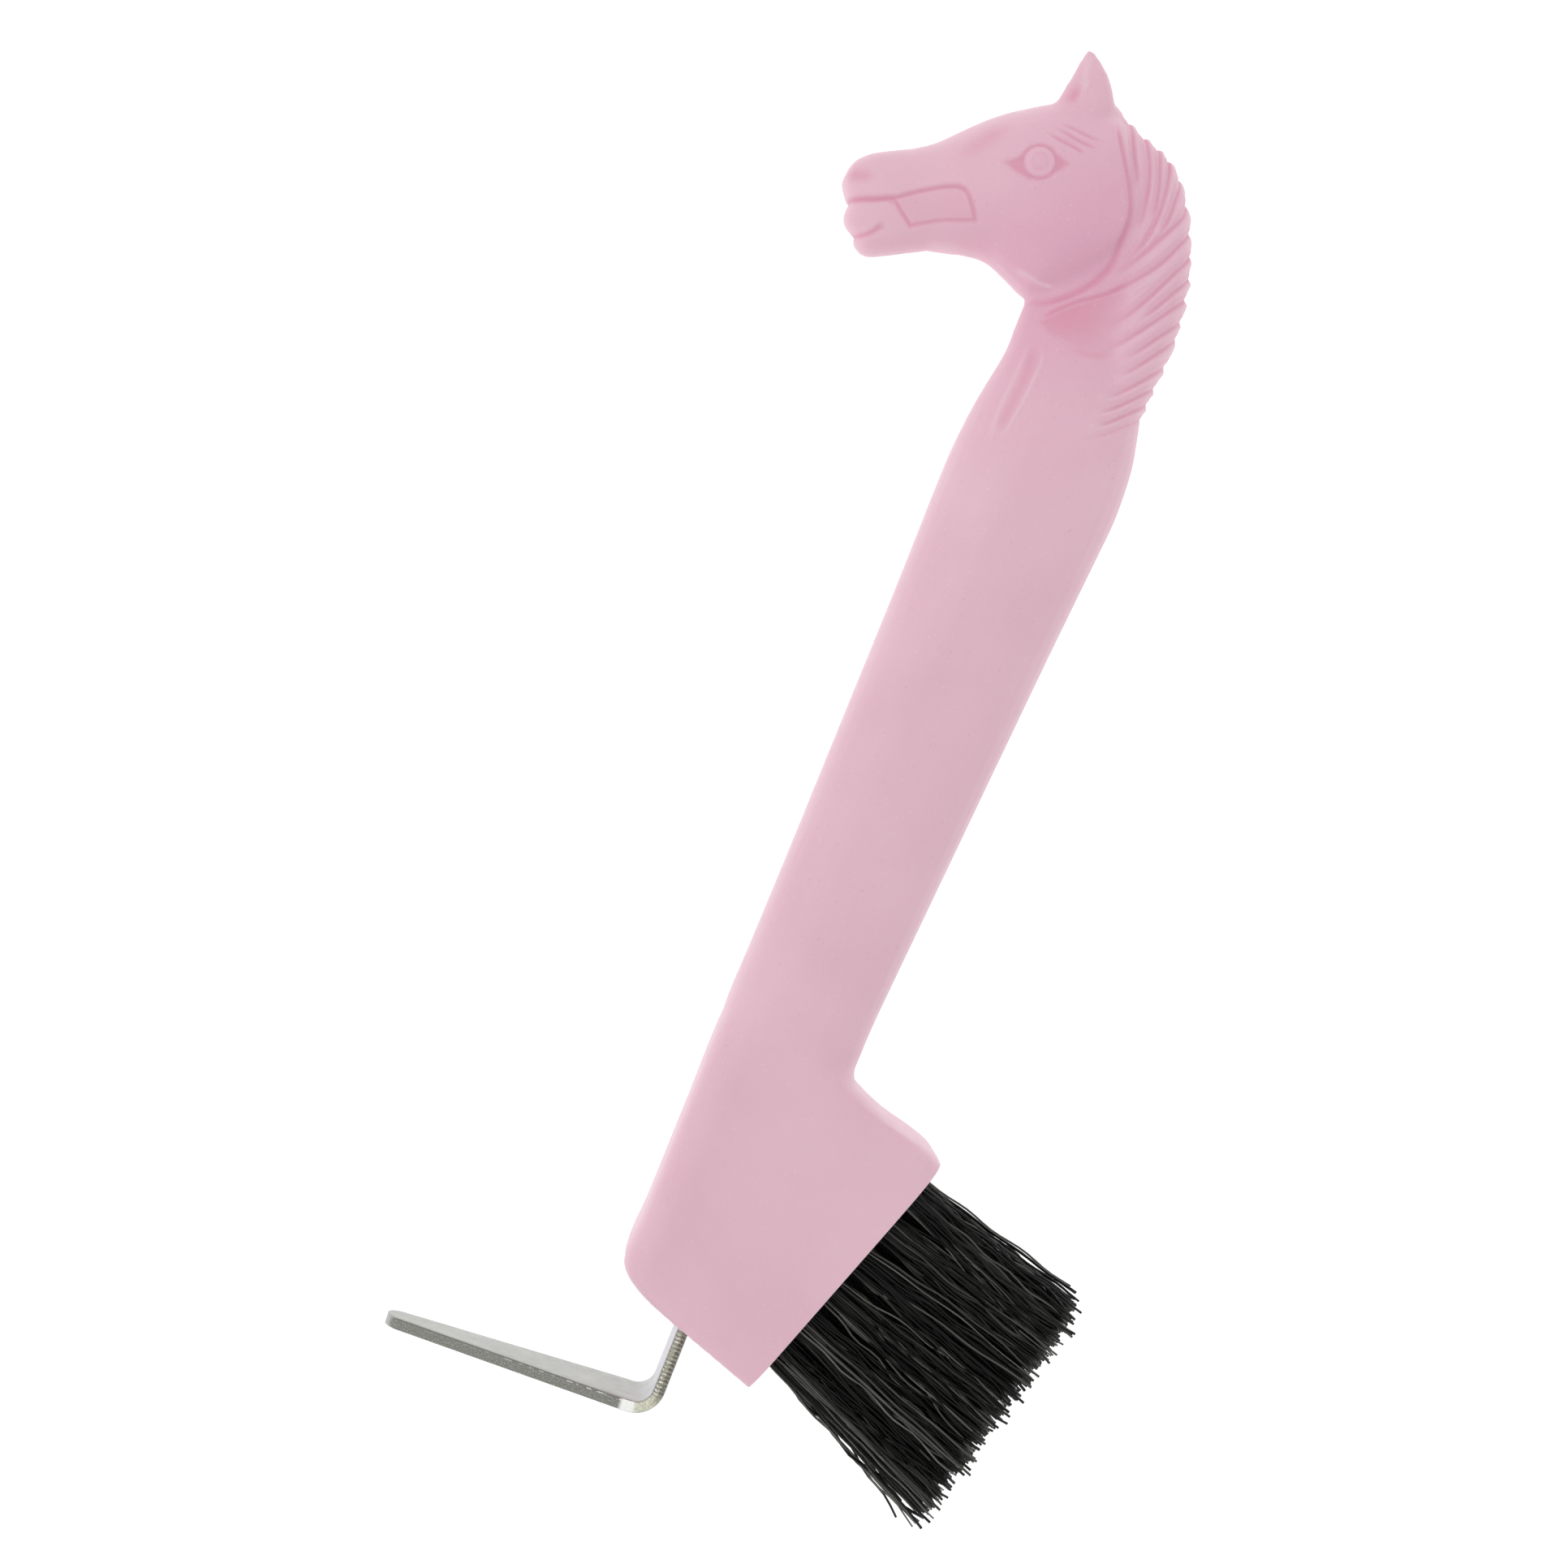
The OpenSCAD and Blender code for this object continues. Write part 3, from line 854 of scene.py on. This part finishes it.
def make_pick():
    """The strip, skinned from sections down the stem, round the bend and along the blade."""
    top, down, thickness, width = stem_line()
    out = np.array([down[2], 0, -down[0]])
    turn = math.pi / 2 - BLADE_DROOP + math.atan2(down[0], -down[2])
    bend_r = BEND_R + thickness / 2
    bend_end = top + down * (STEM_LENGTH + bend_r * math.sin(turn))
    bend_end += out * bend_r * (1 - math.cos(turn))
    blade_length = (bend_end[0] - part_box("pick")[0].x) / math.cos(BLADE_DROOP)
    half_t = thickness / 2

    bm = bmesh.new()
    along_layer = bm.verts.layers.float.new("along")
    blade_layer = bm.verts.layers.float.new("blade")
    through_layer = bm.verts.layers.float.new("through")
    rings = []
    for place, normal, s, b in strip_stations(top, down, out, turn, bend_r, blade_length):
        half, round_r = strip_width(b, blade_length, width)
        rough = STEM_ROUGH if s < STEM_LENGTH + bend_r else BLADE_ROUGH
        ring = []
        for y, n in strip_section(half, half_t, round_r):
            side = math.copysign(1, y)
            ragged = rough * wander(s, 3 * side + round(n / half_t), ROUGH_PITCH) * abs(y) / half
            vert = bm.verts.new(place + np.array([0, y + side * ragged, 0]) + normal * n)
            vert[along_layer] = s / MM
            vert[blade_layer] = (s - STEM_LENGTH - bend_r * turn) / MM
            vert[through_layer] = n / half_t
            ring.append(vert)
        rings.append(ring)
    skin(bm, rings)
    bmesh.ops.recalc_face_normals(bm, faces=bm.faces)
    pick = object_from(bm, "pick_strip")
    cut(pick, plug_holes)
    finished(pick, plated_steel(), "pick")


# ------------------------ brush


def tuft_axis(row, k):
    """The mouth of a tuft's bore, the way the tuft leans and its length beyond the face."""
    at = mouth(row, k)
    points = corners(f"tuft_{row}_{k}")
    way = face_way
    for _ in range(4):
        reach = points @ way
        tip = points[reach > reach.max() - ON_FACE].mean(0)
        way = (tip - at) / np.linalg.norm(tip - at)
    return at, way, np.linalg.norm(tip - at)


def packed_spots(count, random):
    """Spots spread evenly over a disc of radius 1, a little shuffled."""
    golden = math.pi * (3 - math.sqrt(5))
    for i in range(count):
        r = math.sqrt((i + 0.5) / count)
        a = i * golden + random.normal(0, SPOT_SHUFFLE)
        yield r * math.cos(a), r * math.sin(a)


def bristle_path(at, way, length, u, v, random):
    """The middle of one bristle, from inside the bore to its cut tip."""
    side = np.array([0.0, 1.0, 0.0])
    rise = np.cross(side, face_way)
    spread = TIP_SPREAD * (1 + random.normal(0, SPREAD_CHANGE))
    reach = length + random.normal(0, LENGTH_SPREAD) * MM
    odd = random.random()
    if odd < SHORT_SHARE:
        reach -= random.uniform(*SHORTER) * MM
    elif odd > 1 - LONG_SHARE:
        reach += random.uniform(*LONGER) * MM
    lean = random.normal(0, LEAN, 2) * MM
    if random.random() < FAR_LEAN_SHARE:
        lean = lean * FAR_LEAN
    crimp = random.uniform(*CRIMP) * MM
    wave = random.uniform(*WAVE) * MM
    phase, tilt = random.uniform(0, 2 * math.pi, 2)
    bow = random.normal(0, BOW) * MM
    strays = math.hypot(u, v) > OUTSIDE and random.random() < STRAY_SHARE
    stray = random.uniform(*STRAY) * MM if strays else 0

    root = at - face_way * ROOT_DEPTH + (side * u + rise * v) * ROOT_SPREAD
    neck = at + (side * u + rise * v) * ROOT_SPREAD
    path = [root, (root + neck) / 2]
    for step in range(BRISTLE_STEPS + 1):
        t = step / BRISTLE_STEPS
        d = reach * t
        open_up = OPEN_GRADUAL * smoothstep(t, 0, 1) + OPEN_EVEN * t
        radius = ROOT_SPREAD + (spread - ROOT_SPREAD) * open_up + stray * t**STRAY_POWER
        swing = crimp * math.sin(2 * math.pi * d / wave + phase) * min(1, CRIMP_GROWTH * t)
        swing += bow * math.sin(math.pi * t)
        across = u * radius + lean[0] * t + swing * math.cos(tilt)
        up = v * radius + lean[1] * t + swing * math.sin(tilt)
        path.append(at + way * d + side * across + rise * up)
    return path


def add_bristle(bm, path, radius, turn, painted_highlight):
    """A closed filament along a path, with its painted highlight from 0 for dark to 1 for bright.
    """
    rings = []
    painted_highlight_layer = bm.verts.layers.float["painted_highlight"]
    for i, place in enumerate(path):
        ahead = path[min(i + 1, len(path) - 1)] - path[max(i - 1, 0)]
        ahead = Vector(ahead).normalized()
        side = ahead.orthogonal() if i == 0 else side - ahead * side.dot(ahead)
        side = side.normalized()
        other = ahead.cross(side)
        ring = []
        for j in range(BRISTLE_SIDES):
            a = turn + 2 * math.pi * j / BRISTLE_SIDES
            outward = side * math.cos(a) + other * math.sin(a)
            vert = bm.verts.new(Vector(place) + radius * outward)
            vert[painted_highlight_layer] = painted_highlight
            ring.append(vert)
        rings.append(ring)
    skin(bm, rings)


def make_tuft(row, k, seed, material):
    """The bristles of one bore."""
    random = np.random.default_rng(seed)
    at, way, length = tuft_axis(row, k)
    bm = bmesh.new()
    bm.verts.layers.float.new("painted_highlight")
    for u, v in packed_spots(BRISTLES, random):
        path = bristle_path(at, way, length, u, v, random)
        # Painted highlight: a few filaments get a bright colour in place of the light they would
        # catch
        painted_highlight = random.random() ** PAINTED_HIGHLIGHT_POWER
        radius = BRISTLE_R * random.uniform(*THICKNESS) * (1 - BRIGHT_THINNER * painted_highlight)
        add_bristle(bm, path, radius, random.uniform(0, 1), painted_highlight)
    tuft = object_from(bm, f"bristles_{row}_{k}")
    finished(tuft, material, f"tuft_{row}_{k}")


def wire_anchors():
    """Gives the wire's look to the CAD's anchors, which are already their full shape."""
    wire = drawn_wire()
    for row in ROWS:
        for material_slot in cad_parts["tuft_anchors_" + row].material_slots:
            material_slot.material = wire


# ------------------------ materials


def srgb(r, g, b):
    """A colour given as 0 to 255 on a screen, as the linear numbers that nodes take."""
    def linear(c):
        c = c / 255
        return c / 12.92 if c <= 0.04045 else ((c + 0.055) / 1.055) ** 2.4
    return linear(r), linear(g), linear(b), 1


def grey(v):
    return (v, v, v, 1)


def choose(tree, switch, off, on, output):
    """Sends one shader or the other to the output, as the switch says."""
    blend = tree.nodes.new("ShaderNodeMixShader")
    for socket, source in zip(blend.inputs, (switch, off, on)):
        tree.links.new(source, socket)
    tree.links.new(blend.outputs[0], tree.nodes[output].inputs["Surface"])


class Material:
    """A node material, with short calls for the nodes used here."""

    def __init__(self, name):
        self.material = bpy.data.materials.new(name)
        self.material.use_nodes = True
        self.nodes = self.material.node_tree.nodes
        self.links = self.material.node_tree.links
        self.shader = self.nodes["Principled BSDF"]

    def feed(self, socket, value):
        """Sets a socket to a plain value, or links another node's output to it."""
        if isinstance(value, bpy.types.NodeSocket):
            self.links.new(value, socket)
        else:
            socket.default_value = value

    def node(self, kind, **inputs):
        made = self.nodes.new(kind)
        for name, value in inputs.items():
            self.feed(made.inputs[name.replace("_", " ")], value)
        return made

    def put(self, name, value):
        self.feed(self.shader.inputs[name], value)

    def attribute(self, name):
        made = self.nodes.new("ShaderNodeAttribute")
        made.attribute_name = name
        return made.outputs["Fac"]

    def stretched(self, vector, scale):
        return self.node("ShaderNodeMapping", Vector=vector, Scale=scale).outputs["Vector"]

    def place(self, scale=(1, 1, 1)):
        return self.stretched(self.nodes.new("ShaderNodeTexCoord").outputs["Object"], scale)

    def speckle(self, vector, scale, detail=3.0, rough=0.5):
        made = self.node("ShaderNodeTexNoise", Vector=vector, Scale=scale, Detail=detail)
        self.feed(made.inputs["Roughness"], rough)
        return made.outputs["Fac"]

    def ramp(self, fac, *stops):
        made = self.nodes.new("ShaderNodeValToRGB")
        self.links.new(fac, made.inputs["Fac"])
        elements = made.color_ramp.elements
        while len(elements) < len(stops):
            elements.new(0.5)
        for element, (position, colour) in zip(elements, stops):
            element.position = position
            element.color = colour
        return made.outputs["Color"]

    def greys(self, fac, between, shades=(0, 1)):
        """A grey that goes from one shade to the other as fac goes between the two values."""
        return self.ramp(fac, *((at, grey(shade)) for at, shade in zip(between, shades)))

    def mix(self, fac, a, b):
        made = self.nodes.new("ShaderNodeMix")
        made.data_type = "RGBA"
        for socket, value in ((0, fac), (6, a), (7, b)):
            self.feed(made.inputs[socket], value)
        return made.outputs[2]

    def maths(self, kind, *values):
        made = self.nodes.new("ShaderNodeMath")
        made.operation = kind
        for socket, value in zip(made.inputs, values):
            self.feed(socket, value)
        return made.outputs[0]

    def band(self, value, middle, half_width):
        """1 where the value is at the middle, falling to 0 at the half width."""
        away = self.maths("ABSOLUTE", self.maths("SUBTRACT", value, middle))
        near = self.maths("SUBTRACT", 1.0, self.maths("DIVIDE", away, half_width))
        return self.maths("MAXIMUM", near, 0.0)

    def bump(self, height, strength, distance):
        made = self.node("ShaderNodeBump", Height=height, Strength=strength, Distance=distance)
        self.links.new(made.outputs["Normal"], self.shader.inputs["Normal"])


# Heights between which the grip's pink turns into the head's, and the middle and reach
# of the deeper pink around the jowl
NECK_FROM = 105 * MM
NECK_TO = 150 * MM
JOWL_ACROSS = (-8 * MM, 30 * MM)
JOWL_UP = (165 * MM, 40 * MM)


def pink_plastic():
    """Satin moulded plastic, slightly translucent: deeper pink in grooves as painted shade, paler
    on ridges as a painted highlight, and paler towards the outline as a painted rim light.
    """
    m = Material("pink_plastic")
    place = m.place()
    parts = m.node("ShaderNodeSeparateXYZ", Vector=place).outputs
    up_neck = m.node("ShaderNodeMapRange", Value=parts["Z"], From_Min=NECK_FROM, From_Max=NECK_TO)
    cloud = m.speckle(place, 55, 2)
    drift = m.greys(cloud, (0.35, 0.65))
    grip = m.mix(drift, srgb(226, 185, 199), srgb(229, 190, 203))
    head = m.mix(drift, srgb(230, 187, 202), srgb(232, 192, 206))
    jowl = m.maths("MULTIPLY", m.band(parts["X"], *JOWL_ACROSS), m.band(parts["Z"], *JOWL_UP))
    head = m.mix(jowl, head, srgb(223, 168, 190))
    colour = m.mix(up_neck.outputs[0], grip, head)
    # Painted rim light: paler pink where the surface turns away from view, towards the outline
    painted_rim_light = m.node("ShaderNodeLayerWeight", Blend=0.3).outputs["Facing"]
    colour = m.mix(m.greys(painted_rim_light, (0.25, 0.8), (0, 0.5)), colour, srgb(240, 208, 220))
    speck = m.speckle(place, 2600, 2)
    colour = m.mix(m.greys(speck, (0.66, 0.74), (0, 0.4)), colour, srgb(244, 220, 230))
    dark_speck = m.speckle(place, 1500, 1)
    dark_speck = m.greys(dark_speck, (0.72, 0.8), (0, 0.3))
    colour = m.mix(dark_speck, colour, srgb(196, 140, 165))
    # Painted highlight: paler pink on the ridges of the carving
    colour = m.mix(m.maths("MULTIPLY", m.attribute("ridge"), 0.45), colour, srgb(236, 208, 218))
    # Painted shade: deeper pink in the grooves of the carving, as shaded translucent plastic looks
    colour = m.mix(m.maths("MULTIPLY", m.attribute("groove"), 0.85), colour, srgb(219, 142, 168))
    m.put("Base Color", colour)
    m.put("Subsurface Weight", 0.25)
    m.put("Subsurface Radius", (1.0, 0.55, 0.65))
    m.put("Subsurface Scale", 1.6 * MM)
    m.put("Roughness", m.greys(m.speckle(place, 420, 4), (0.3, 0.7), (0.4, 0.54)))
    m.put("Specular IOR Level", 0.4)
    coarse = m.maths("MULTIPLY", m.speckle(place, 160, 2), 0.6)
    grain = m.maths("ADD", m.speckle(place, 900, 3), coarse)
    m.bump(grain, 0.2, 0.06 * MM)
    return m.material


# Shear marks across the stem's edge, in radians for each millimetre
SHEAR_MARKS = 9.0


def stem_edge(m, spot, along, blade, through):
    """The sheared edge's colour on the stem and the bend, and its height."""
    at_bend = m.greys(m.maths("MULTIPLY_ADD", blade, 0.1, 1.0), (0.42, 0.62), (0, 0.75))
    even = m.maths("MULTIPLY", along, SHEAR_MARKS)
    steps = m.maths("MULTIPLY_ADD", m.speckle(spot, 1.6, 4, 0.7), 11, even)
    patchy = m.greys(m.speckle(spot, 0.8, 2), (0.38, 0.6), (0.1, 1))
    marks = m.maths("MULTIPLY", m.maths("SINE", steps), m.maths("SUBTRACT", patchy, at_bend))
    marks = m.maths("SUBTRACT", marks, 0.45)
    shear = m.maths("MULTIPLY_ADD", m.speckle(spot, 3.6, 3, 0.7), 2.6, marks)
    shear = m.maths("MULTIPLY", shear, 0.5)
    inner = m.greys(m.maths("MULTIPLY_ADD", through, 0.5, 0.5), (0.42, 0.62), (1, 0))
    bright = m.ramp(
        shear, (0.2, srgb(146, 145, 128)), (0.55, srgb(186, 185, 168)), (0.8, srgb(255, 255, 250))
    )
    dark = m.ramp(shear, (0.2, srgb(96, 94, 82)), (0.7, srgb(156, 154, 138)))
    pits = m.speckle(spot, 2.2, 4, 0.75)
    pitted = m.ramp(pits, (0.34, srgb(186, 186, 160)), (0.62, srgb(255, 255, 236)))
    return m.mix(at_bend, m.mix(inner, dark, bright), pitted), shear


def blade_edge(m, spot, blade, through):
    """The granular edge's colour on the blade, with a painted highlight as a bright broken line,
    and its height.
    """
    granular = m.speckle(m.stretched(spot, (5, 3.2, 1)), 1.0, 4, 0.7)
    colour = m.ramp(
        granular,
        (0.3, srgb(104, 105, 98)), (0.52, srgb(136, 137, 130)), (0.72, srgb(190, 190, 182)),
    )
    dashes = m.speckle(m.stretched(spot, (0.55, 0, 1)), 1.0, 2)
    broken = m.greys(dashes, (0.5, 0.54))
    near_bend = m.greys(m.maths("DIVIDE", blade, 30.0), (0.1, 1.0), (1, 0))
    # Painted highlight: a bright broken line near the inner face, fading away from the bend
    line = m.maths("MULTIPLY", m.band(through, -0.62, 0.13), broken)
    line = m.maths("MULTIPLY", line, near_bend)
    return m.mix(line, colour, srgb(252, 252, 244)), granular


def plated_steel():
    """Zinc plating: satin faces, a sheared edge with marks across it on the stem, and a
    granular one on the blade with a painted highlight, a bright broken line, near the inner face,
    a painted glint past the bend, and dark rims along the edge: painted shade, and the burr."""
    m = Material("plated_steel")
    place = m.place()
    along, blade, through = m.attribute("along"), m.attribute("blade"), m.attribute("through")
    spot = m.node("ShaderNodeCombineXYZ", X=along, Y=through, Z=0.0).outputs[0]
    on_stem, shear = stem_edge(m, spot, along, blade, through)
    on_blade, granular = blade_edge(m, spot, blade, through)
    past = m.greys(m.maths("MULTIPLY_ADD", blade, 0.5, 0.5), (0.3, 0.9))
    edge_colour = m.mix(past, on_stem, on_blade)
    # Dark rims along both corners of the edge: painted shade, with the burr as well at the inner
    # corner
    burr_and_shade_rims = m.maths("ADD", m.band(through, -0.9, 0.26), m.band(through, 0.96, 0.14))
    edge_colour = m.mix(m.maths("MULTIPLY", burr_and_shade_rims, 0.85), edge_colour, srgb(74, 72, 64))
    # Painted highlight: a white glint on the edge just past the bend
    painted_glint = m.greys(m.band(blade, 0.2, 1.7), (0.1, 0.5))
    edge_colour = m.mix(painted_glint, edge_colour, srgb(255, 255, 252))

    geometry = m.nodes.new("ShaderNodeNewGeometry")
    parts = m.node("ShaderNodeSeparateXYZ", Vector=geometry.outputs["Normal"])
    edge = m.greys(m.maths("ABSOLUTE", parts.outputs["Y"]), (0.72, 0.9))
    face_colour = m.mix(m.speckle(place, 210, 5, 0.6), srgb(166, 167, 163), srgb(192, 193, 188))
    past_bend = m.greys(m.maths("MULTIPLY_ADD", blade, 0.05, 0.5), (0.1, 0.5))
    face_colour = m.mix(past_bend, srgb(204, 203, 209), face_colour)
    m.put("Base Color", m.mix(edge, face_colour, edge_colour))
    m.put("Metallic", m.mix(edge, grey(0.85), grey(0.5)))
    face_rough = m.greys(m.speckle(place, 520, 3), (0.3, 0.7), (0.3, 0.42))
    m.put("Roughness", m.mix(edge, face_rough, grey(0.45)))
    height = m.mix(edge, m.speckle(place, 700, 3), m.mix(past, shear, granular))
    m.bump(height, 0.45, 0.12 * MM)
    return m.material


def black_bristle():
    """Black synthetic filament with a lustre; each filament's colour has a painted highlight of its
    own strength, mostly none.
    """
    m = Material("black_bristle")
    place = m.place()
    dark = m.mix(m.speckle(place, 260, 2), srgb(3, 3, 3), srgb(20, 20, 19))
    # Painted highlight: the bright grey of the highlit filaments
    bright = m.mix(m.speckle(place, 180, 2), srgb(86, 86, 82), srgb(132, 132, 126))
    m.put("Base Color", m.mix(m.attribute("painted_highlight"), dark, bright))
    m.put("Roughness", m.greys(m.speckle(place, 1500, 2), (0.3, 0.7), (0.16, 0.28)))
    m.put("Specular IOR Level", 0.2)
    return m.material


def drawn_wire():
    """Flat drawn wire, with fine draw lines along its length."""
    m = Material("drawn_wire")
    lines = m.speckle(m.place((1, 0.05, 1)), 6000, 2)
    m.put("Base Color", m.ramp(lines, (0.3, srgb(120, 120, 116)), (0.7, srgb(190, 190, 186))))
    m.put("Metallic", 1.0)
    m.put("Roughness", 0.35)
    m.bump(lines, 0.3, 0.03 * MM)
    return m.material


def paper_white():
    """The pale backdrop, which can't be seen from its back."""
    m = Material("paper_white")
    m.put("Base Color", grey(FLOOR_SHADE))
    m.put("Roughness", 0.9)
    m.put("Specular IOR Level", 0.1)
    m.put("Emission Color", grey(1))
    m.put("Emission Strength", FLOOR_GLOW)
    back = m.nodes.new("ShaderNodeNewGeometry").outputs["Backfacing"]
    clear = m.nodes.new("ShaderNodeBsdfTransparent").outputs[0]
    choose(m.material.node_tree, back, m.shader.outputs[0], clear, "Material Output")
    return m.material


# ------------------------ studio

FLOOR_GAP = 0.5 * MM
FLOOR_SIZE = 6.0
FLOOR_SHADE = 0.25
FLOOR_GLOW = 0.92
WORLD_LIGHT = 0.76
# Each light's name, place, power and size
LIGHTS = (
    ("key", (-0.6, -1.0, 0.2), 1.5, 0.5),
    ("top", (0.05, -0.8, 1.1), 0.7, 0.12),
    ("low", (-0.6, -0.8, -0.7), 0.9, 0.5),
)
CAMERA_DISTANCE = 0.375
CAMERA_YAW = math.radians(1.5)
CAMERA_ROLL = math.radians(24)
VIEW_WIDTH = 0.2576
SENSOR = 36
AIM = (-0.0174, -0.011, 0.0683)


def make_floor():
    """The backdrop behind the flat side that the tool lies on."""
    bm = bmesh.new()
    bmesh.ops.create_grid(bm, x_segments=8, y_segments=8, size=FLOOR_SIZE / 2)
    floor = object_from(bm, "floor")
    floor.rotation_euler = (math.pi / 2, 0, 0)
    floor.location = (0, cad_box[1].y + FLOOR_GAP, (cad_box[0].z + cad_box[1].z) / 2)
    floor.data.materials.append(paper_white())
    floor.visible_shadow = False


def soft_light(name, place, power, size):
    light = bpy.data.lights.new(name, "AREA")
    light.energy = power
    light.size = size
    lamp = new_object(name, light)
    lamp.location = place
    aim = Vector(AIM) - Vector(place)
    lamp.rotation_euler = aim.to_track_quat("-Z", "Y").to_euler()


def make_camera():
    across = Vector((math.cos(CAMERA_YAW), -math.sin(CAMERA_YAW), 0))
    ahead = Vector((math.sin(CAMERA_YAW), math.cos(CAMERA_YAW), 0))
    up = Vector((0, 0, 1))
    right = across * math.cos(CAMERA_ROLL) + up * math.sin(CAMERA_ROLL)
    top = up * math.cos(CAMERA_ROLL) - across * math.sin(CAMERA_ROLL)
    data = bpy.data.cameras.new("camera")
    data.sensor_width = SENSOR
    data.lens = SENSOR * CAMERA_DISTANCE / VIEW_WIDTH
    data.clip_start = 0.01
    camera = new_object("camera", data)
    turn = Matrix((right, top, -ahead)).transposed().to_4x4()
    camera.matrix_world = Matrix.Translation(Vector(AIM) - ahead * CAMERA_DISTANCE) @ turn
    bpy.context.scene.camera = camera


def make_world():
    """Even light from all round, which looks white behind the object."""
    world = bpy.data.worlds.new("studio")
    world.use_nodes = True
    nodes = world.node_tree.nodes
    light = nodes["Background"]
    backdrop = nodes.new("ShaderNodeBackground")
    for shader, strength in ((light, WORLD_LIGHT), (backdrop, 1.0)):
        shader.inputs["Color"].default_value = grey(1)
        shader.inputs["Strength"].default_value = strength
    seen = nodes.new("ShaderNodeLightPath").outputs["Is Camera Ray"]
    choose(world.node_tree, seen, light.outputs[0], backdrop.outputs[0], "World Output")
    bpy.context.scene.world = world


def make_studio():
    make_world()
    bpy.context.scene.view_settings.view_transform = "Standard"
    make_floor()
    for light in LIGHTS:
        soft_light(*light)
    make_camera()


# ------------------------ assembly

make_handle()
make_pick()
bristle = black_bristle()
for number, (row, k) in enumerate(every_tuft()):
    make_tuft(row, k, SEED + number, bristle)
wire_anchors()
make_studio()
